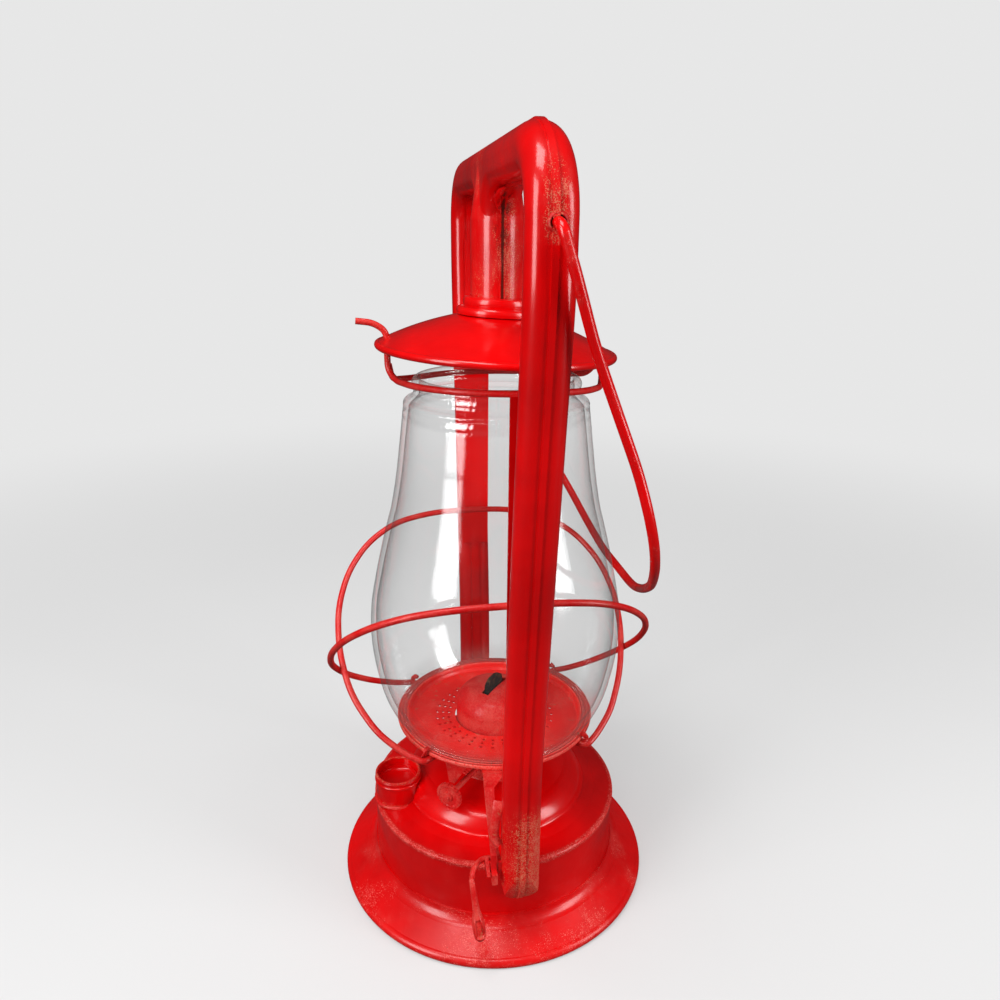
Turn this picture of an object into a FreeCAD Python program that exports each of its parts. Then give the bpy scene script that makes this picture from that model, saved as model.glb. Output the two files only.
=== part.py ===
import FreeCAD, Part
import math
import os
import re

import Sketcher

# A hot blast hurricane lantern, upright on its base.
# Origin: centre of the base on the table. +Z up, +X towards the tube with the lift lever,
# -Y towards the filler neck, the wick knob and the hood's finger hook. Millimetres.

from FreeCAD import Placement, Rotation, Vector

doc = FreeCAD.newDocument("Lantern")

# Driving sizes
SIZES = [
    ("sheet", 0.8, "wall of the pressed sheet parts"),
    ("rimRadius", 78, "outside of the rolled base rim"),
    ("rimBead", 2.4, "radius of the rolled base rim"),
    ("rimFlat", 1.2, "width of the flat worn under the rim"),
    ("fountRadius", 61.3, "outside of the fount wall at its foot"),
    ("fountFoot", 15.1, "height where the skirt meets the fount wall"),
    ("fountFloor", 6, "height of the fount's bottom plate"),
    ("creaseRadius", 61.8, "outside of the crease round the top of the fount wall"),
    ("creaseHeight", 43.1, "height of that crease"),
    ("shoulderRadius", 52, "inner edge of the flat shoulder"),
    ("shoulderHeight", 45.3, "height there"),
    ("domeRadius", 46.3, "foot of the dome on the fount"),
    ("domeFoot", 46.5, "height there"),
    ("domeTopRadius", 36, "where the dome turns flat"),
    ("domeTopHeight", 56, "height there"),
    ("collarHeight", 58.5, "height of the fount round the burner collar"),
    ("collarRadius", 21, "outside of the burner collar"),
    ("collarBore", 15, "bore of the burner collar"),
    ("collarTall", 4, "height of the burner collar"),
    ("fillerX", 6.1, "filler neck centre, sideways"),
    ("fillerY", -50, "filler neck centre, front to back"),
    ("fillerRadius", 10.85, "outside of the filler neck"),
    ("fillerTop", 59.6, "height of the filler lip"),
    ("plugDeep", 6.4, "depth of the plug's floor below the filler lip"),
    ("plateRadius", 48.8, "outside of the globe plate"),
    ("plateHeight", 87.4, "top of the plate's flange, where the globe sits"),
    ("trayRadius", 43.6, "inside of the flange"),
    ("trayHeight", 83.4, "top of the plate's recessed floor"),
    ("plateBore", 20, "hole in the plate round the burner cone"),
    ("airHole", 0.8, "radius of an air hole in the plate"),
    ("airRow", 23.2, "radius of the inner row of air holes"),
    ("airPitch", 2.9, "step to the next row"),
    ("airCount", 32, "holes in each row"),
    ("coneRadius", 19.2, "outside of the burner cone"),
    ("coneFoot", 78, "height of the cone's lower edge"),
    ("coneShoulder", 91, "height where the cone starts to close"),
    ("coneTop", 100, "height of the cone's top"),
    ("burnerRadius", 17.4, "outside of the burner body"),
    ("wickWidth", 16, "width of the flat wick"),
    ("wickThick", 1.9, "thickness of the wick"),
    ("wickTop", 103.9, "height of the wick's top"),
    ("wickFoot", 20, "height of the wick's lower end"),
    ("wickGap", 0.25, "room round the wick in its tube"),
    ("tubeWall", 0.5, "wall of the wick tube"),
    ("wickTurn", -41, "direction of the wick's width and of the raiser shaft"),
    ("shaftHeight", 65.5, "height of the raiser shaft"),
    ("shaftRadius", 1.3, "radius of the raiser shaft"),
    ("wheelRadius", 2.35, "radius of the spur wheels"),
    ("wheelRoom", 0.2, "gap between wheel and wick"),
    ("wheelSpread", 5, "each spur wheel from the wick's middle"),
    ("wheelThick", 1, "thickness of a spur wheel"),
    ("knobReach", 45.2, "wick knob from the lantern's axis, along the shaft"),
    ("knobRadius", 6.6, "outside of the wick knob"),
    ("knobThick", 1.6, "thickness of the knob's disc"),
    ("knobTeeth", 20, "notches round the knob"),
    ("runGap", 0.06, "running clearance of a shaft or pin in its hole"),
    ("seatGap", 0.2, "gap between moving parts that only lie together"),
    ("globeFoot", 46.6, "outside of the globe at its foot"),
    ("globeBelly", 59.9, "outside of the globe at its widest"),
    ("bellyHeight", 136.5, "height there"),
    ("globeWaist", 44.4, "outside of the globe at the start of the neck"),
    ("waistRise", 82.9, "height of the neck's start above the belly"),
    ("waistHeight", "=bellyHeight + waistRise", "height there"),
    ("globeShoulder", 41.4, "outside of the globe's shoulder"),
    ("shoulderRise", 25.8, "height of the shoulder above the neck's start"),
    ("globeShoulderHeight", "=waistHeight + shoulderRise", "height there"),
    ("globeNeck", 36.8, "outside of the neck below the lip"),
    ("globeLip", 36.4, "outside of the lip"),
    ("lipRise", 10.6, "height of the lip above the shoulder"),
    ("lipHeight", "=globeShoulderHeight + lipRise", "top of the globe"),
    ("glass", 2.4, "thickness of the glass"),
    ("tubeDepth", 13.6, "side tube, inner face to outer face"),
    ("tubeWidth", 17, "side tube, front to back"),
    ("tubeCorner", 5.8, "rounding of the side tube's section"),
    ("footOuter", 76.2, "outer face of the side tube at its foot"),
    ("footTop", 52, "height where the tube halves start above the toe"),
    ("toeHeight", 29, "lowest point of the toe"),
    ("toeReach", 65.6, "outer edge of the toe at its lowest point"),
    ("toePoint", 20, "height of the toe's point, where its sides start to close"),
    ("bendLow", 75, "height where the tube starts to lean out"),
    ("bendLowRadius", 400, "radius of that bend"),
    ("tubeLean", 7.69, "lean of the side tube, degrees"),
    ("bendHigh", 284, "height where the tube turns upright again"),
    ("bendHighRadius", 210, "radius of that bend"),
    ("ribWidth", 2.2, "width of the rib down the outside of the tube"),
    ("ribHigh", 0.8, "height of that rib"),
    ("seamWidth", 4.4, "width of the folded seam down the inside of the tube"),
    ("seamHigh", 0.7, "height of that seam"),
    ("stripTop", 263, "top of the strip behind the tube"),
    ("stripFoot", 150, "foot of that strip"),
    ("stripTopWidth", 19.8, "width of the strip at its top"),
    ("stripFootWidth", 14.4, "width of the strip at its foot"),
    ("stripThick", 1, "thickness of the strip"),
    ("crownTop", 350.6, "top of the crown"),
    ("crownCorner", 30, "radius of the crown's shoulders"),
    ("crownRound", 7.9, "rounding of the duct's section along its top"),
    ("ductDeep", 17, "depth of the crown's duct"),
    ("archRadius", 12, "radius under the duct beside the side tubes"),
    ("flareRadius", 13, "radius under the duct beside the centre tube"),
    ("flareInset", 1, "how far the duct's root lies inside the centre tube"),
    ("centreRadius", 11.4, "outside of the centre tube"),
    ("centreFoot", 266, "lower end of the centre tube"),
    ("centrePeak", 344, "height where the centre tube's bulge ends in the crown"),
    ("centreSeam", 0.4, "height of the seam down the centre tube"),
    ("hoodRadius", 52.6, "outside of the hood"),
    ("hoodRim", 267.4, "height of the hood's rolled rim"),
    ("hoodBead", 1.5, "radius of the rolled rim"),
    ("hoodTop", 282, "height of the hood at its collar"),
    ("hoodBore", 12.4, "hole in the hood and its collar"),
    ("hoodLean", -3, "lean of the hood, front up, degrees about X"),
    ("hoodCollar", 7.6, "height of the hood's collar"),
    ("collarFlange", 18, "outside of the collar's lower ring"),
    ("collarNeck", 15.3, "outside of the collar's upper ring"),
    ("catchWire", 1.4, "radius of the catch wire"),
    ("catchX", -6, "stem of the catch wire, sideways"),
    ("catchY", -47.3, "stem of the catch wire, front to back"),
    ("hookReach", 13, "reach of the finger hook from the stem"),
    ("hookRise", 24.2, "height of the finger hook above the globe's lip"),
    ("bailWire", 1.9, "radius of the bail wire"),
    ("bailHeight", 318.5, "height of the bail's pivot"),
    ("bailBack", 0.6, "bail pivot behind the middle"),
    ("bailRest", 20.8, "bail's lean towards the back at rest, degrees"),
    ("bailDrop", 172.3, "pivot to the middle of the bail's grip"),
    ("bailLeg", 106.4, "bail leg from the middle at the pivot"),
    ("tongueReach", 37.5, "tongue under the plate from the lantern's axis, along the shaft"),
    ("tongueFoot", 66, "lower end of the tongue"),
    ("guardWire", 1.5, "radius of the guard wires"),
    ("guardFootZ", 85.3, "height of the guard wires at the plate"),
    ("guardSlope", 0.951, "rise of a guard wire per length along X"),
    ("guardInset", 32.5, "X where a guard wire leaves the plate"),
    ("guardShift", 4.3, "set of both guard wires towards the front"),
    ("carriageRise", 7, "travel of the globe plate"),
    ("strapX", 69.5, "lift strap's lower bend from the middle"),
    ("strapBend", 58, "height of that bend"),
    ("strapY", -12, "lift strap, front of the tube"),
    ("strapWidth", 2.4, "width of the lift strap at its foot"),
    ("strapThick", 1.4, "thickness of the lift strap"),
    ("leverX", 64, "lift lever's pivot from the middle"),
    ("leverZ", 51.8, "height of that pivot"),
    ("leverWire", 1.15, "radius of the lever's wire"),
    ("thumbWidth", 5, "width of the thumb piece"),
    ("thumbThick", 2.6, "thickness of the thumb piece"),
    ("thumbLong", 26.5, "length of the thumb piece"),
]
sheet = doc.addObject("Spreadsheet::Sheet", "Sizes")
for row, (alias, value, note) in enumerate(SIZES, 1):
    sheet.set(f"A{row}", alias)
    sheet.set(f"B{row}", str(value))
    sheet.setAlias(f"B{row}", alias)
    sheet.set(f"C{row}", note)
doc.recompute()

parts = []


# A formula is a sum of size names and numbers, each times or over another, as in "rimRadius - sheet/2"
def rule(formula):
    return re.sub(r"[A-Za-z]\w*", lambda word: "Sizes." + word.group(), formula)


def amount(word):
    return float(sheet.get(word)) if word[0].isalpha() else float(word)


def worth(formula):
    total = 0.0
    sign = 1
    for term in formula.split():
        if term in "+-":
            sign = 1 if term == "+" else -1
            continue
        if term[0] == "-":
            sign = -sign
            term = term[1:]
        product = 1.0
        for factor in term.split("*"):
            top, _, under = factor.partition("/")
            product *= amount(top)
            if under:
                product /= amount(under)
        total += sign*product
        sign = 1
    return total


def new_body(name):
    body = doc.addObject("PartDesign::Body", name)
    body.Label = name
    parts.append(body)
    return body


def origin_item(body, role):
    for item in body.Origin.OriginFeatures:
        if item.Role == role:
            return item


def new_sketch(body, name, role, height="0"):
    sketch = body.newObject("Sketcher::SketchObject", name)
    sketch.AttachmentSupport = [(origin_item(body, role), "")]
    sketch.MapMode = "FlatFace"
    if height != "0":
        sketch.AttachmentOffset = Placement(Vector(0, 0, worth(height)), Rotation())
        sketch.setExpression("AttachmentOffset.Base.z", rule(height))
    return sketch


def hold(sketch, geometry, position, axis, formula):
    kind = "DistanceX" if axis == "x" else "DistanceY"
    if formula == "0":
        line = -2 if axis == "x" else -1
        sketch.addConstraint(Sketcher.Constraint("PointOnObject", geometry, position, line))
        return
    index = sketch.addConstraint(Sketcher.Constraint(kind, -1, 1, geometry, position, worth(formula)))
    sketch.setExpression(f"Constraints[{index}]", rule(formula))


# Closed outline through (x, y) formulas; four formulas reach x, y by an arc through the last two
def outline(sketch, points):
    spots = [Vector(worth(point[0]), worth(point[1]), 0) for point in points]
    ends = []
    for index, point in enumerate(points):
        start = spots[index - 1]
        stop = spots[index]
        if len(point) == 4:
            middle = Vector(worth(point[2]), worth(point[3]), 0)
            edge = sketch.addGeometry(Part.Arc(start, middle, stop))
            mark = sketch.addGeometry(Part.Point(middle), True)
            sketch.addConstraint(Sketcher.Constraint("PointOnObject", mark, 1, edge))
            hold(sketch, mark, 1, "x", point[2])
            hold(sketch, mark, 1, "y", point[3])
        else:
            edge = sketch.addGeometry(Part.LineSegment(start, stop))
        first = 1
        if sketch.getPoint(edge, 1).distanceToPoint(start) > 1e-6:
            first = 2
        ends.append((edge, first, 3 - first))
    for index, (edge, first, last) in enumerate(ends):
        before = ends[index - 1]
        sketch.addConstraint(Sketcher.Constraint("Coincident", before[0], before[2], edge, first))
        hold(sketch, edge, last, "x", points[index][0])
        hold(sketch, edge, last, "y", points[index][1])


def circle(sketch, x, y, radius):
    edge = sketch.addGeometry(Part.Circle(Vector(worth(x), worth(y), 0), Vector(0, 0, 1), worth(radius)))
    hold(sketch, edge, 3, "x", x)
    hold(sketch, edge, 3, "y", y)
    index = sketch.addConstraint(Sketcher.Constraint("Radius", edge, worth(radius)))
    sketch.setExpression(f"Constraints[{index}]", rule(radius))


def feature(body, kind, name, sketch):
    item = body.newObject(kind, name)
    item.Profile = sketch
    return item


def turned(name, points):
    body = new_body(name)
    sketch = new_sketch(body, name + "_outline", "XZ_Plane")
    outline(sketch, points)
    item = feature(body, "PartDesign::Revolution", name + "_turn", sketch)
    item.ReferenceAxis = (sketch, ["V_Axis"])
    item.Angle = 360
    return body


def pad(body, name, sketch, length, both=False):
    item = feature(body, "PartDesign::Pad", name, sketch)
    item.Midplane = both
    item.Length = worth(length)
    item.setExpression("Length", rule(length))
    return item


# Cut through all that lies on the sketch's upper side; it must take something away
def pocket(body, name, sketch):
    doc.recompute()
    before = body.Shape.Volume
    item = feature(body, "PartDesign::Pocket", name, sketch)
    item.Type = "ThroughAll"
    item.Reversed = True
    doc.recompute()
    if body.Shape.Volume >= before:
        raise RuntimeError(name + " takes nothing away")
    return item


def rectangle(sketch, left, right, low, high):
    outline(sketch, [(left, low), (right, low), (right, high), (left, high)])


def pattern(body, name, first, axis, count):
    item = body.newObject("PartDesign::PolarPattern", name)
    item.Originals = [first]
    item.Axis = (origin_item(body, axis), [""])
    item.Angle = 360
    item.Occurrences = int(worth(count))
    item.setExpression("Occurrences", rule(count))
    body.Tip = item
    doc.recompute()
    return item


def plain(name, shape):
    item = doc.addObject("Part::Feature", name)
    item.Shape = shape
    item.Label = name
    parts.append(item)
    return item


def box(x0, x1, y0, y1, z0, z1):
    return Part.makeBox(x1 - x0, y1 - y0, z1 - z0, Vector(x0, y0, z0))


# Wire route: straight runs joined by tangent arcs, each as wide as its runs allow or as the given bend
def route(points, bend=None):
    spots = [Vector(*point) for point in points]
    edges = []
    start = spots[0]
    for before, corner, after in zip(spots, spots[1:], spots[2:]):
        back = before - corner
        ahead = after - corner
        half = (math.pi - back.getAngle(ahead))/2
        cut = 0.45*min(back.Length, ahead.Length)
        if bend:
            cut = min(cut, bend*math.tan(half))
        enter = corner + back.normalize()*cut
        leave = corner + ahead.normalize()*cut
        bisect = (back + ahead).normalize()
        radius = cut/math.tan(half)
        middle = corner + bisect*(radius/math.cos(half) - radius)
        edges.append(Part.LineSegment(start, enter).toShape())
        edges.append(Part.Arc(enter, middle, leave).toShape())
        start = leave
    edges.append(Part.LineSegment(start, spots[-1]).toShape())
    return Part.Wire(edges)


def swept(path, radius):
    first = path.Edges[0]
    aim = first.tangentAt(first.FirstParameter)
    ring = Part.Wire([Part.makeCircle(radius, first.firstVertex().Point, aim)])
    return path.makePipeShell([ring], True, False)


def mirrored(shape, direction):
    return shape.mirror(Vector(0, 0, 0), direction)


# Shape trimmed where it meets another; the largest piece is kept
def clear_of(shape, other):
    return max(shape.cut(other).Solids, key=lambda solid: solid.Volume)


# Base skirt: rolled rim, sloping skirt and a short upright collar soldered round the fount
turned("base_skirt", [
    ("rimRadius - rimBead - rimFlat/2", "0", "rimRadius - 2*rimBead", "rimBead"),
    ("rimRadius - rimBead + rimFlat/2", "0"),
    ("rimRadius - rimBead", "2*rimBead", "rimRadius", "rimBead"),
    ("fountRadius + 5", "fountFoot - 4.4"),
    ("fountRadius + sheet", "fountFoot + 1", "fountRadius + 1.9", "fountFoot - 2.2"),
    ("fountRadius", "fountFoot + 1"),
    ("fountRadius", "fountFoot - 3.4"),
    ("fountRadius + 4.4", "fountFoot - 5.4"),
    ("rimRadius - 1.8*rimBead", "1.6*rimBead"),
])

# Fount: drawn top with a crease, a flat shoulder and a dome up to the burner collar
fount = turned("fount_body", [
    ("fountRadius", "fountFloor"),
    ("fountRadius", "fountFoot"),
    ("fountRadius - 0.1", "creaseHeight - 1.6"),
    ("creaseRadius - 0.7", "creaseHeight + 0.8", "creaseRadius", "creaseHeight - 0.3"),
    ("shoulderRadius", "shoulderHeight"),
    ("domeRadius + 0.6", "domeFoot"),
    ("domeRadius - 0.7", "domeFoot + 0.9", "domeRadius - 0.3", "domeFoot + 0.3"),
    ("domeTopRadius", "domeTopHeight", "domeRadius - 3.6", "domeTopHeight - 3.1"),
    ("collarRadius + 1", "collarHeight", "domeTopRadius - 7", "collarHeight - 0.7"),
    ("collarBore", "collarHeight"),
    ("collarBore", "collarHeight - sheet"),
    ("collarRadius + 1", "collarHeight - sheet"),
    ("domeTopRadius - 0.3", "domeTopHeight - sheet", "domeTopRadius - 7.3", "collarHeight - 0.7 - sheet"),
    ("domeRadius - 1.5", "domeFoot + 0.7", "domeRadius - 4.4", "domeTopHeight - 3.6"),
    ("domeRadius", "domeFoot - sheet"),
    ("shoulderRadius - 0.3", "shoulderHeight - sheet"),
    ("creaseRadius - 1.5", "creaseHeight"),
    ("fountRadius - sheet", "creaseHeight - 1.8", "creaseRadius - 1.1", "creaseHeight - 0.9"),
    ("fountRadius - sheet", "fountFloor"),
])
sketch = new_sketch(fount, "filler_hole", "XY_Plane", "creaseHeight + 0.2")
circle(sketch, "fillerX", "fillerY", "fillerRadius + runGap")
pocket(fount, "filler_pocket", sketch)

turned("fount_bottom", [
    ("0", "fountFloor + 1.2"),
    ("fountRadius - 12", "fountFloor + 1.2"),
    ("fountRadius - 10", "fountFloor"),
    ("fountRadius - sheet - runGap", "fountFloor"),
    ("fountRadius - sheet - runGap", "fountFloor + sheet"),
    ("fountRadius - 9.6", "fountFloor + sheet"),
    ("fountRadius - 11.6", "fountFloor + 1.2 + sheet"),
    ("0", "fountFloor + 1.2 + sheet"),
])

# Filler neck: tube with a bead and a rolled lip, let into the fount's shoulder
neck = turned("filler_neck", [
    ("fillerRadius - sheet", "creaseHeight + 0.2"),
    ("fillerRadius - sheet", "fillerTop - 0.6"),
    ("fillerRadius + 0.2", "fillerTop - 0.9", "fillerRadius - 0.3", "fillerTop"),
    ("fillerRadius", "fillerTop - 1.9", "fillerRadius + 0.4", "fillerTop - 1.5"),
    ("fillerRadius", "fillerTop - 2.9"),
    ("fillerRadius", "fillerTop - 4.3", "fillerRadius + 0.7", "fillerTop - 3.6"),
    ("fillerRadius", "creaseHeight + 0.2"),
])

# Plug: dished disc that closes the neck a little below its lip
plug = turned("filler_plug", [
    ("0", "fillerTop - plugDeep"),
    ("fillerRadius - 3.2", "fillerTop - plugDeep"),
    ("fillerRadius - 1.6", "fillerTop - plugDeep + 1.8", "fillerRadius - 2.1", "fillerTop - plugDeep + 0.5"),
    ("fillerRadius - sheet - runGap", "fillerTop - plugDeep + 1.8"),
    ("fillerRadius - sheet - runGap", "fillerTop - plugDeep - 1"),
    ("0", "fillerTop - plugDeep - 1"),
])
for item in (neck, plug):
    item.Placement = Placement(Vector(worth("fillerX"), worth("fillerY"), 0), Rotation())
    item.setExpression("Placement.Base.x", rule("fillerX"))
    item.setExpression("Placement.Base.y", rule("fillerY"))

# Burner pieces lie along the wick: local X is the wick's width and the raiser shaft's direction
WICK_TURN = Rotation(Vector(0, 0, 1), worth("wickTurn"))
SHAFT_Y = "wickThick/2 + wheelRoom + wheelRadius"


def along_wick(item, x="0", y="0", z="0"):
    item.Placement = Placement(WICK_TURN.multVec(Vector(worth(x), worth(y), worth(z))), WICK_TURN)


turned("burner_collar", [
    ("collarBore", "collarHeight"),
    ("collarRadius", "collarHeight"),
    ("collarRadius", "collarHeight + 1.2"),
    ("collarRadius - 1.2", "collarHeight + 1.6"),
    ("collarRadius - 1.2", "collarHeight + collarTall"),
    ("collarBore", "collarHeight + collarTall"),
])
burner = turned("burner_body", [
    ("collarBore - 1", "collarHeight + collarTall"),
    ("burnerRadius", "collarHeight + collarTall"),
    ("burnerRadius", "coneFoot - 3"),
    ("coneRadius", "coneFoot"),
    ("coneRadius", "coneFoot + 2"),
    ("coneRadius - sheet", "coneFoot + 2"),
    ("coneRadius - sheet", "coneFoot + 0.3"),
    ("burnerRadius - sheet", "coneFoot - 2.7"),
    ("burnerRadius - sheet", "collarHeight + collarTall + sheet"),
    ("collarBore - 1", "collarHeight + collarTall + sheet"),
])
sketch = new_sketch(burner, "shaft_hole", "YZ_Plane")
circle(sketch, SHAFT_Y, "shaftHeight", "shaftRadius + runGap")
pocket(burner, "shaft_pocket", sketch)
along_wick(burner)

cone = turned("burner_cone", [
    ("coneRadius", "coneFoot + 2"),
    ("coneRadius", "coneShoulder"),
    ("coneRadius - 7", "coneTop - 1.2", "coneRadius - 2.2", "coneShoulder + 4.8"),
    ("0", "coneTop", "coneRadius/3", "coneTop - 0.3"),
    ("0", "coneTop - sheet"),
    ("coneRadius - 7.4", "coneTop - 1.2 - sheet", "coneRadius/3", "coneTop - 0.35 - sheet"),
    ("coneRadius - sheet", "coneShoulder - 0.2", "coneRadius - 3", "coneShoulder + 4"),
    ("coneRadius - sheet", "coneFoot + 2"),
])
sketch = new_sketch(cone, "flame_slot", "XY_Plane", "coneShoulder")
rectangle(sketch, "-wickWidth/2 - 1.4", "wickWidth/2 + 1.4", "-wickThick/2 - 1", "wickThick/2 + 1")
pocket(cone, "slot_pocket", sketch)
along_wick(cone)

wick_tube = new_body("wick_tube")
sketch = new_sketch(wick_tube, "wick_tube_section", "XY_Plane", "collarHeight - 8")
for wall in (" + wickGap + tubeWall", " + wickGap"):
    half_width = "wickWidth/2" + wall
    half_thick = "wickThick/2" + wall
    less_width = "-" + half_width.replace("+", "-")
    less_thick = "-" + half_thick.replace("+", "-")
    rectangle(sketch, less_width, half_width, less_thick, half_thick)
pad(wick_tube, "wick_tube_pad", sketch, "coneTop - collarHeight + 2")
sketch = new_sketch(wick_tube, "wheel_slots", "XZ_Plane")
for side in ("wheelSpread", "-wheelSpread"):
    rectangle(sketch, side + " - 0.9", side + " + 0.9", "shaftHeight - wheelRadius - 0.5",
              "shaftHeight + wheelRadius + 0.5")
slots = pocket(wick_tube, "slots_pocket", sketch)
slots.Reversed = False
along_wick(wick_tube)

wick = doc.addObject("Part::Box", "wick")
wick.Label = "wick"
parts.append(wick)
for side, formula in (("Length", "wickWidth"), ("Width", "wickThick"), ("Height", "wickTop - wickFoot")):
    setattr(wick, side, worth(formula))
    wick.setExpression(side, rule(formula))
along_wick(wick, "-wickWidth/2", "-wickThick/2", "wickFoot")

shaft = new_body("raiser_shaft")
sketch = new_sketch(shaft, "shaft_section", "YZ_Plane")
circle(sketch, "0", "0", "shaftRadius")
pad(shaft, "shaft_pad", sketch, "knobReach + wickWidth/2 + 1")
along_wick(shaft, "-wickWidth/2 - 1", SHAFT_Y, "shaftHeight")

for name, side in (("raiser_wheel_inner", "-wheelSpread"), ("raiser_wheel_outer", "wheelSpread")):
    wheel = new_body(name)
    sketch = new_sketch(wheel, name + "_section", "YZ_Plane")
    circle(sketch, "0", "0", "wheelRadius")
    circle(sketch, "0", "0", "shaftRadius")
    pad(wheel, name + "_pad", sketch, "wheelThick")
    along_wick(wheel, side + " - wheelThick/2", SHAFT_Y, "shaftHeight")

knob = new_body("wick_knob")
sketch = new_sketch(knob, "knob_disc", "YZ_Plane")
circle(sketch, "0", "0", "knobRadius")
pad(knob, "knob_disc_pad", sketch, "knobThick")
sketch = new_sketch(knob, "knob_hub", "YZ_Plane", "knobThick")
circle(sketch, "0", "0", "knobRadius/3")
pad(knob, "knob_hub_pad", sketch, "knobThick")
sketch = new_sketch(knob, "knob_notch", "YZ_Plane")
circle(sketch, "0", "knobRadius + 0.15", "knobRadius/9")
notch = pocket(knob, "knob_notch_pocket", sketch)
pattern(knob, "knob_notches", notch, "X_Axis", "knobTeeth")
along_wick(knob, "knobReach", SHAFT_Y, "shaftHeight")

# Globe plate: pressed tray with a flange for the globe, and rows of air holes round the cone
plate = turned("globe_plate", [
    ("plateBore", "trayHeight - sheet"),
    ("trayRadius - 1.4", "trayHeight - sheet"),
    ("trayRadius + 0.4", "plateHeight - 1.4", "trayRadius - 0.2", "trayHeight + 0.4"),
    ("plateRadius - 1.6", "plateHeight - 1"),
    ("plateRadius - 1.2", "plateHeight - 2", "plateRadius - 1.6", "plateHeight - 1.6"),
    ("plateRadius", "plateHeight - 1", "plateRadius - 0.2", "plateHeight - 1.7"),
    ("plateRadius - 1", "plateHeight", "plateRadius - 0.3", "plateHeight - 0.3"),
    ("trayRadius + 0.4", "plateHeight"),
    ("trayRadius - 0.6", "plateHeight - 1.2", "trayRadius - 0.2", "plateHeight - 0.4"),
    ("trayRadius - 1.8", "trayHeight", "trayRadius - 0.9", "trayHeight + 1"),
    ("plateBore", "trayHeight"),
])
sketch = new_sketch(plate, "air_holes", "XY_Plane")
for formula in ("airRow", "airRow + airPitch", "airRow + 2*airPitch"):
    circle(sketch, formula, "0", "airHole")
holes = pocket(plate, "air_pocket", sketch)
pattern(plate, "air_pattern", holes, "Z_Axis", "airCount")

# Tongue bent down from the plate, tapering towards the raiser shaft
tongue = new_body("plate_tongue")
sketch = new_sketch(tongue, "tongue_outline", "YZ_Plane", "tongueReach")
outline(sketch, [
    ("-5", "trayHeight - sheet"),
    ("-1.9", "tongueFoot"),
    ("1", "tongueFoot"),
    ("10.8", "trayHeight - sheet"),
])
pad(tongue, "tongue_pad", sketch, "sheet")
along_wick(tongue)

# Guard wires: two crossing hoops, each in a sloping plane, hooked under the plate's flange
# Points from the plate to the left, in shares of the globe's belly radius
GUARD_SIDE = [
    (0.518, 0.568), (0.584, 0.643), (0.518, 0.768), (0.392, 0.943), (0.167, 1.11), (-0.1, 1.194),
    (-0.367, 1.194), (-0.601, 1.102), (-0.793, 0.927), (-0.927, 0.676), (-0.985, 0.351), (-0.995, 0),
]


def guard(bulge):
    belly = worth("globeBelly")
    sides = []
    for side in (1, -1):
        points = []
        for index, (across, along) in enumerate(GUARD_SIDE):
            x = across*belly
            rise = max(worth("guardInset") - x, 0)*worth("guardSlope")
            wide = along*belly + bulge*max(0, 1 - abs(across + 0.1)/0.668)
            shift = worth("guardShift")*min(1, max(0, index - 1)/3)
            points.append((x, side*wide - shift, worth("guardFootZ") + rise))
        for index, below in ((0, "plateHeight - 2.2 - guardWire"), (1, "plateHeight - 2.1 - guardWire")):
            x, y, _ = points[index]
            points[index] = (x, y, worth(below))
        sides.append(points)
    back, front = sides
    return swept(route(back + front[-2::-1]), worth("guardWire"))


plain("guard_wire_left", guard(0))
plain("guard_wire_right", mirrored(guard(worth("2*guardWire + 0.8")), Vector(1, 0, 0)))

# Globe: pear-shaped glass, pressed rings at the neck, open at both ends
turned("globe", [
    ("globeFoot", "plateHeight + seatGap"),
    ("globeBelly - 2.6", "bellyHeight - 23.4",
     "globeFoot/2 + globeBelly/2 - 0.05", "plateHeight/2 + bellyHeight/2 - 13.15"),
    ("globeBelly - 1.1", "bellyHeight + 14.6", "globeBelly", "bellyHeight"),
    ("globeWaist + 4.1", "waistHeight - 24.4",
     "globeBelly/2 + globeWaist/2 + 2.65", "bellyHeight/2 + waistHeight/2 - 7.35"),
    ("globeWaist", "waistHeight", "globeWaist + 1.9", "waistHeight - 13"),
    ("globeShoulder", "globeShoulderHeight - 1.4",
     "globeShoulder/2 + globeWaist/2 - 0.2", "globeShoulderHeight/2 + waistHeight/2 + 0.9"),
    ("globeShoulder - 2", "globeShoulderHeight + 0.9", "globeShoulder - 0.5", "globeShoulderHeight + 0.4"),
    ("globeNeck", "globeShoulderHeight + 3.2", "globeNeck + 0.8", "globeShoulderHeight + 2"),
    ("globeNeck", "lipHeight - 4.6"),
    ("globeLip", "lipHeight - 0.4", "globeLip + 1.2", "lipHeight - 2.4"),
    ("globeLip - 2.6", "lipHeight - 0.3", "globeLip - 1.3", "lipHeight + 0.1"),
    ("globeNeck - glass", "lipHeight - 3.6", "globeNeck - glass - 0.3", "lipHeight - 1.8"),
    ("globeNeck - glass", "globeShoulderHeight + 2.4"),
    ("globeShoulder - glass", "globeShoulderHeight - 2.4", "globeShoulder - glass - 1.8",
     "globeShoulderHeight - 0.6"),
    ("globeWaist - glass", "waistHeight",
     "globeShoulder/2 + globeWaist/2 - 0.2 - glass", "globeShoulderHeight/2 + waistHeight/2 + 0.9"),
    ("globeWaist + 4.1 - glass", "waistHeight - 24.4", "globeWaist + 1.9 - glass", "waistHeight - 13"),
    ("globeBelly - 1.1 - glass", "bellyHeight + 14.6",
     "globeBelly/2 + globeWaist/2 + 2.55 - glass", "bellyHeight/2 + waistHeight/2 - 7.35"),
    ("globeBelly - 2.6 - glass", "bellyHeight - 23.4", "globeBelly - glass", "bellyHeight"),
    ("globeFoot - glass", "plateHeight + seatGap",
     "globeFoot/2 + globeBelly/2 - 0.15 - glass", "plateHeight/2 + bellyHeight/2 - 12.95"),
])

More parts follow.
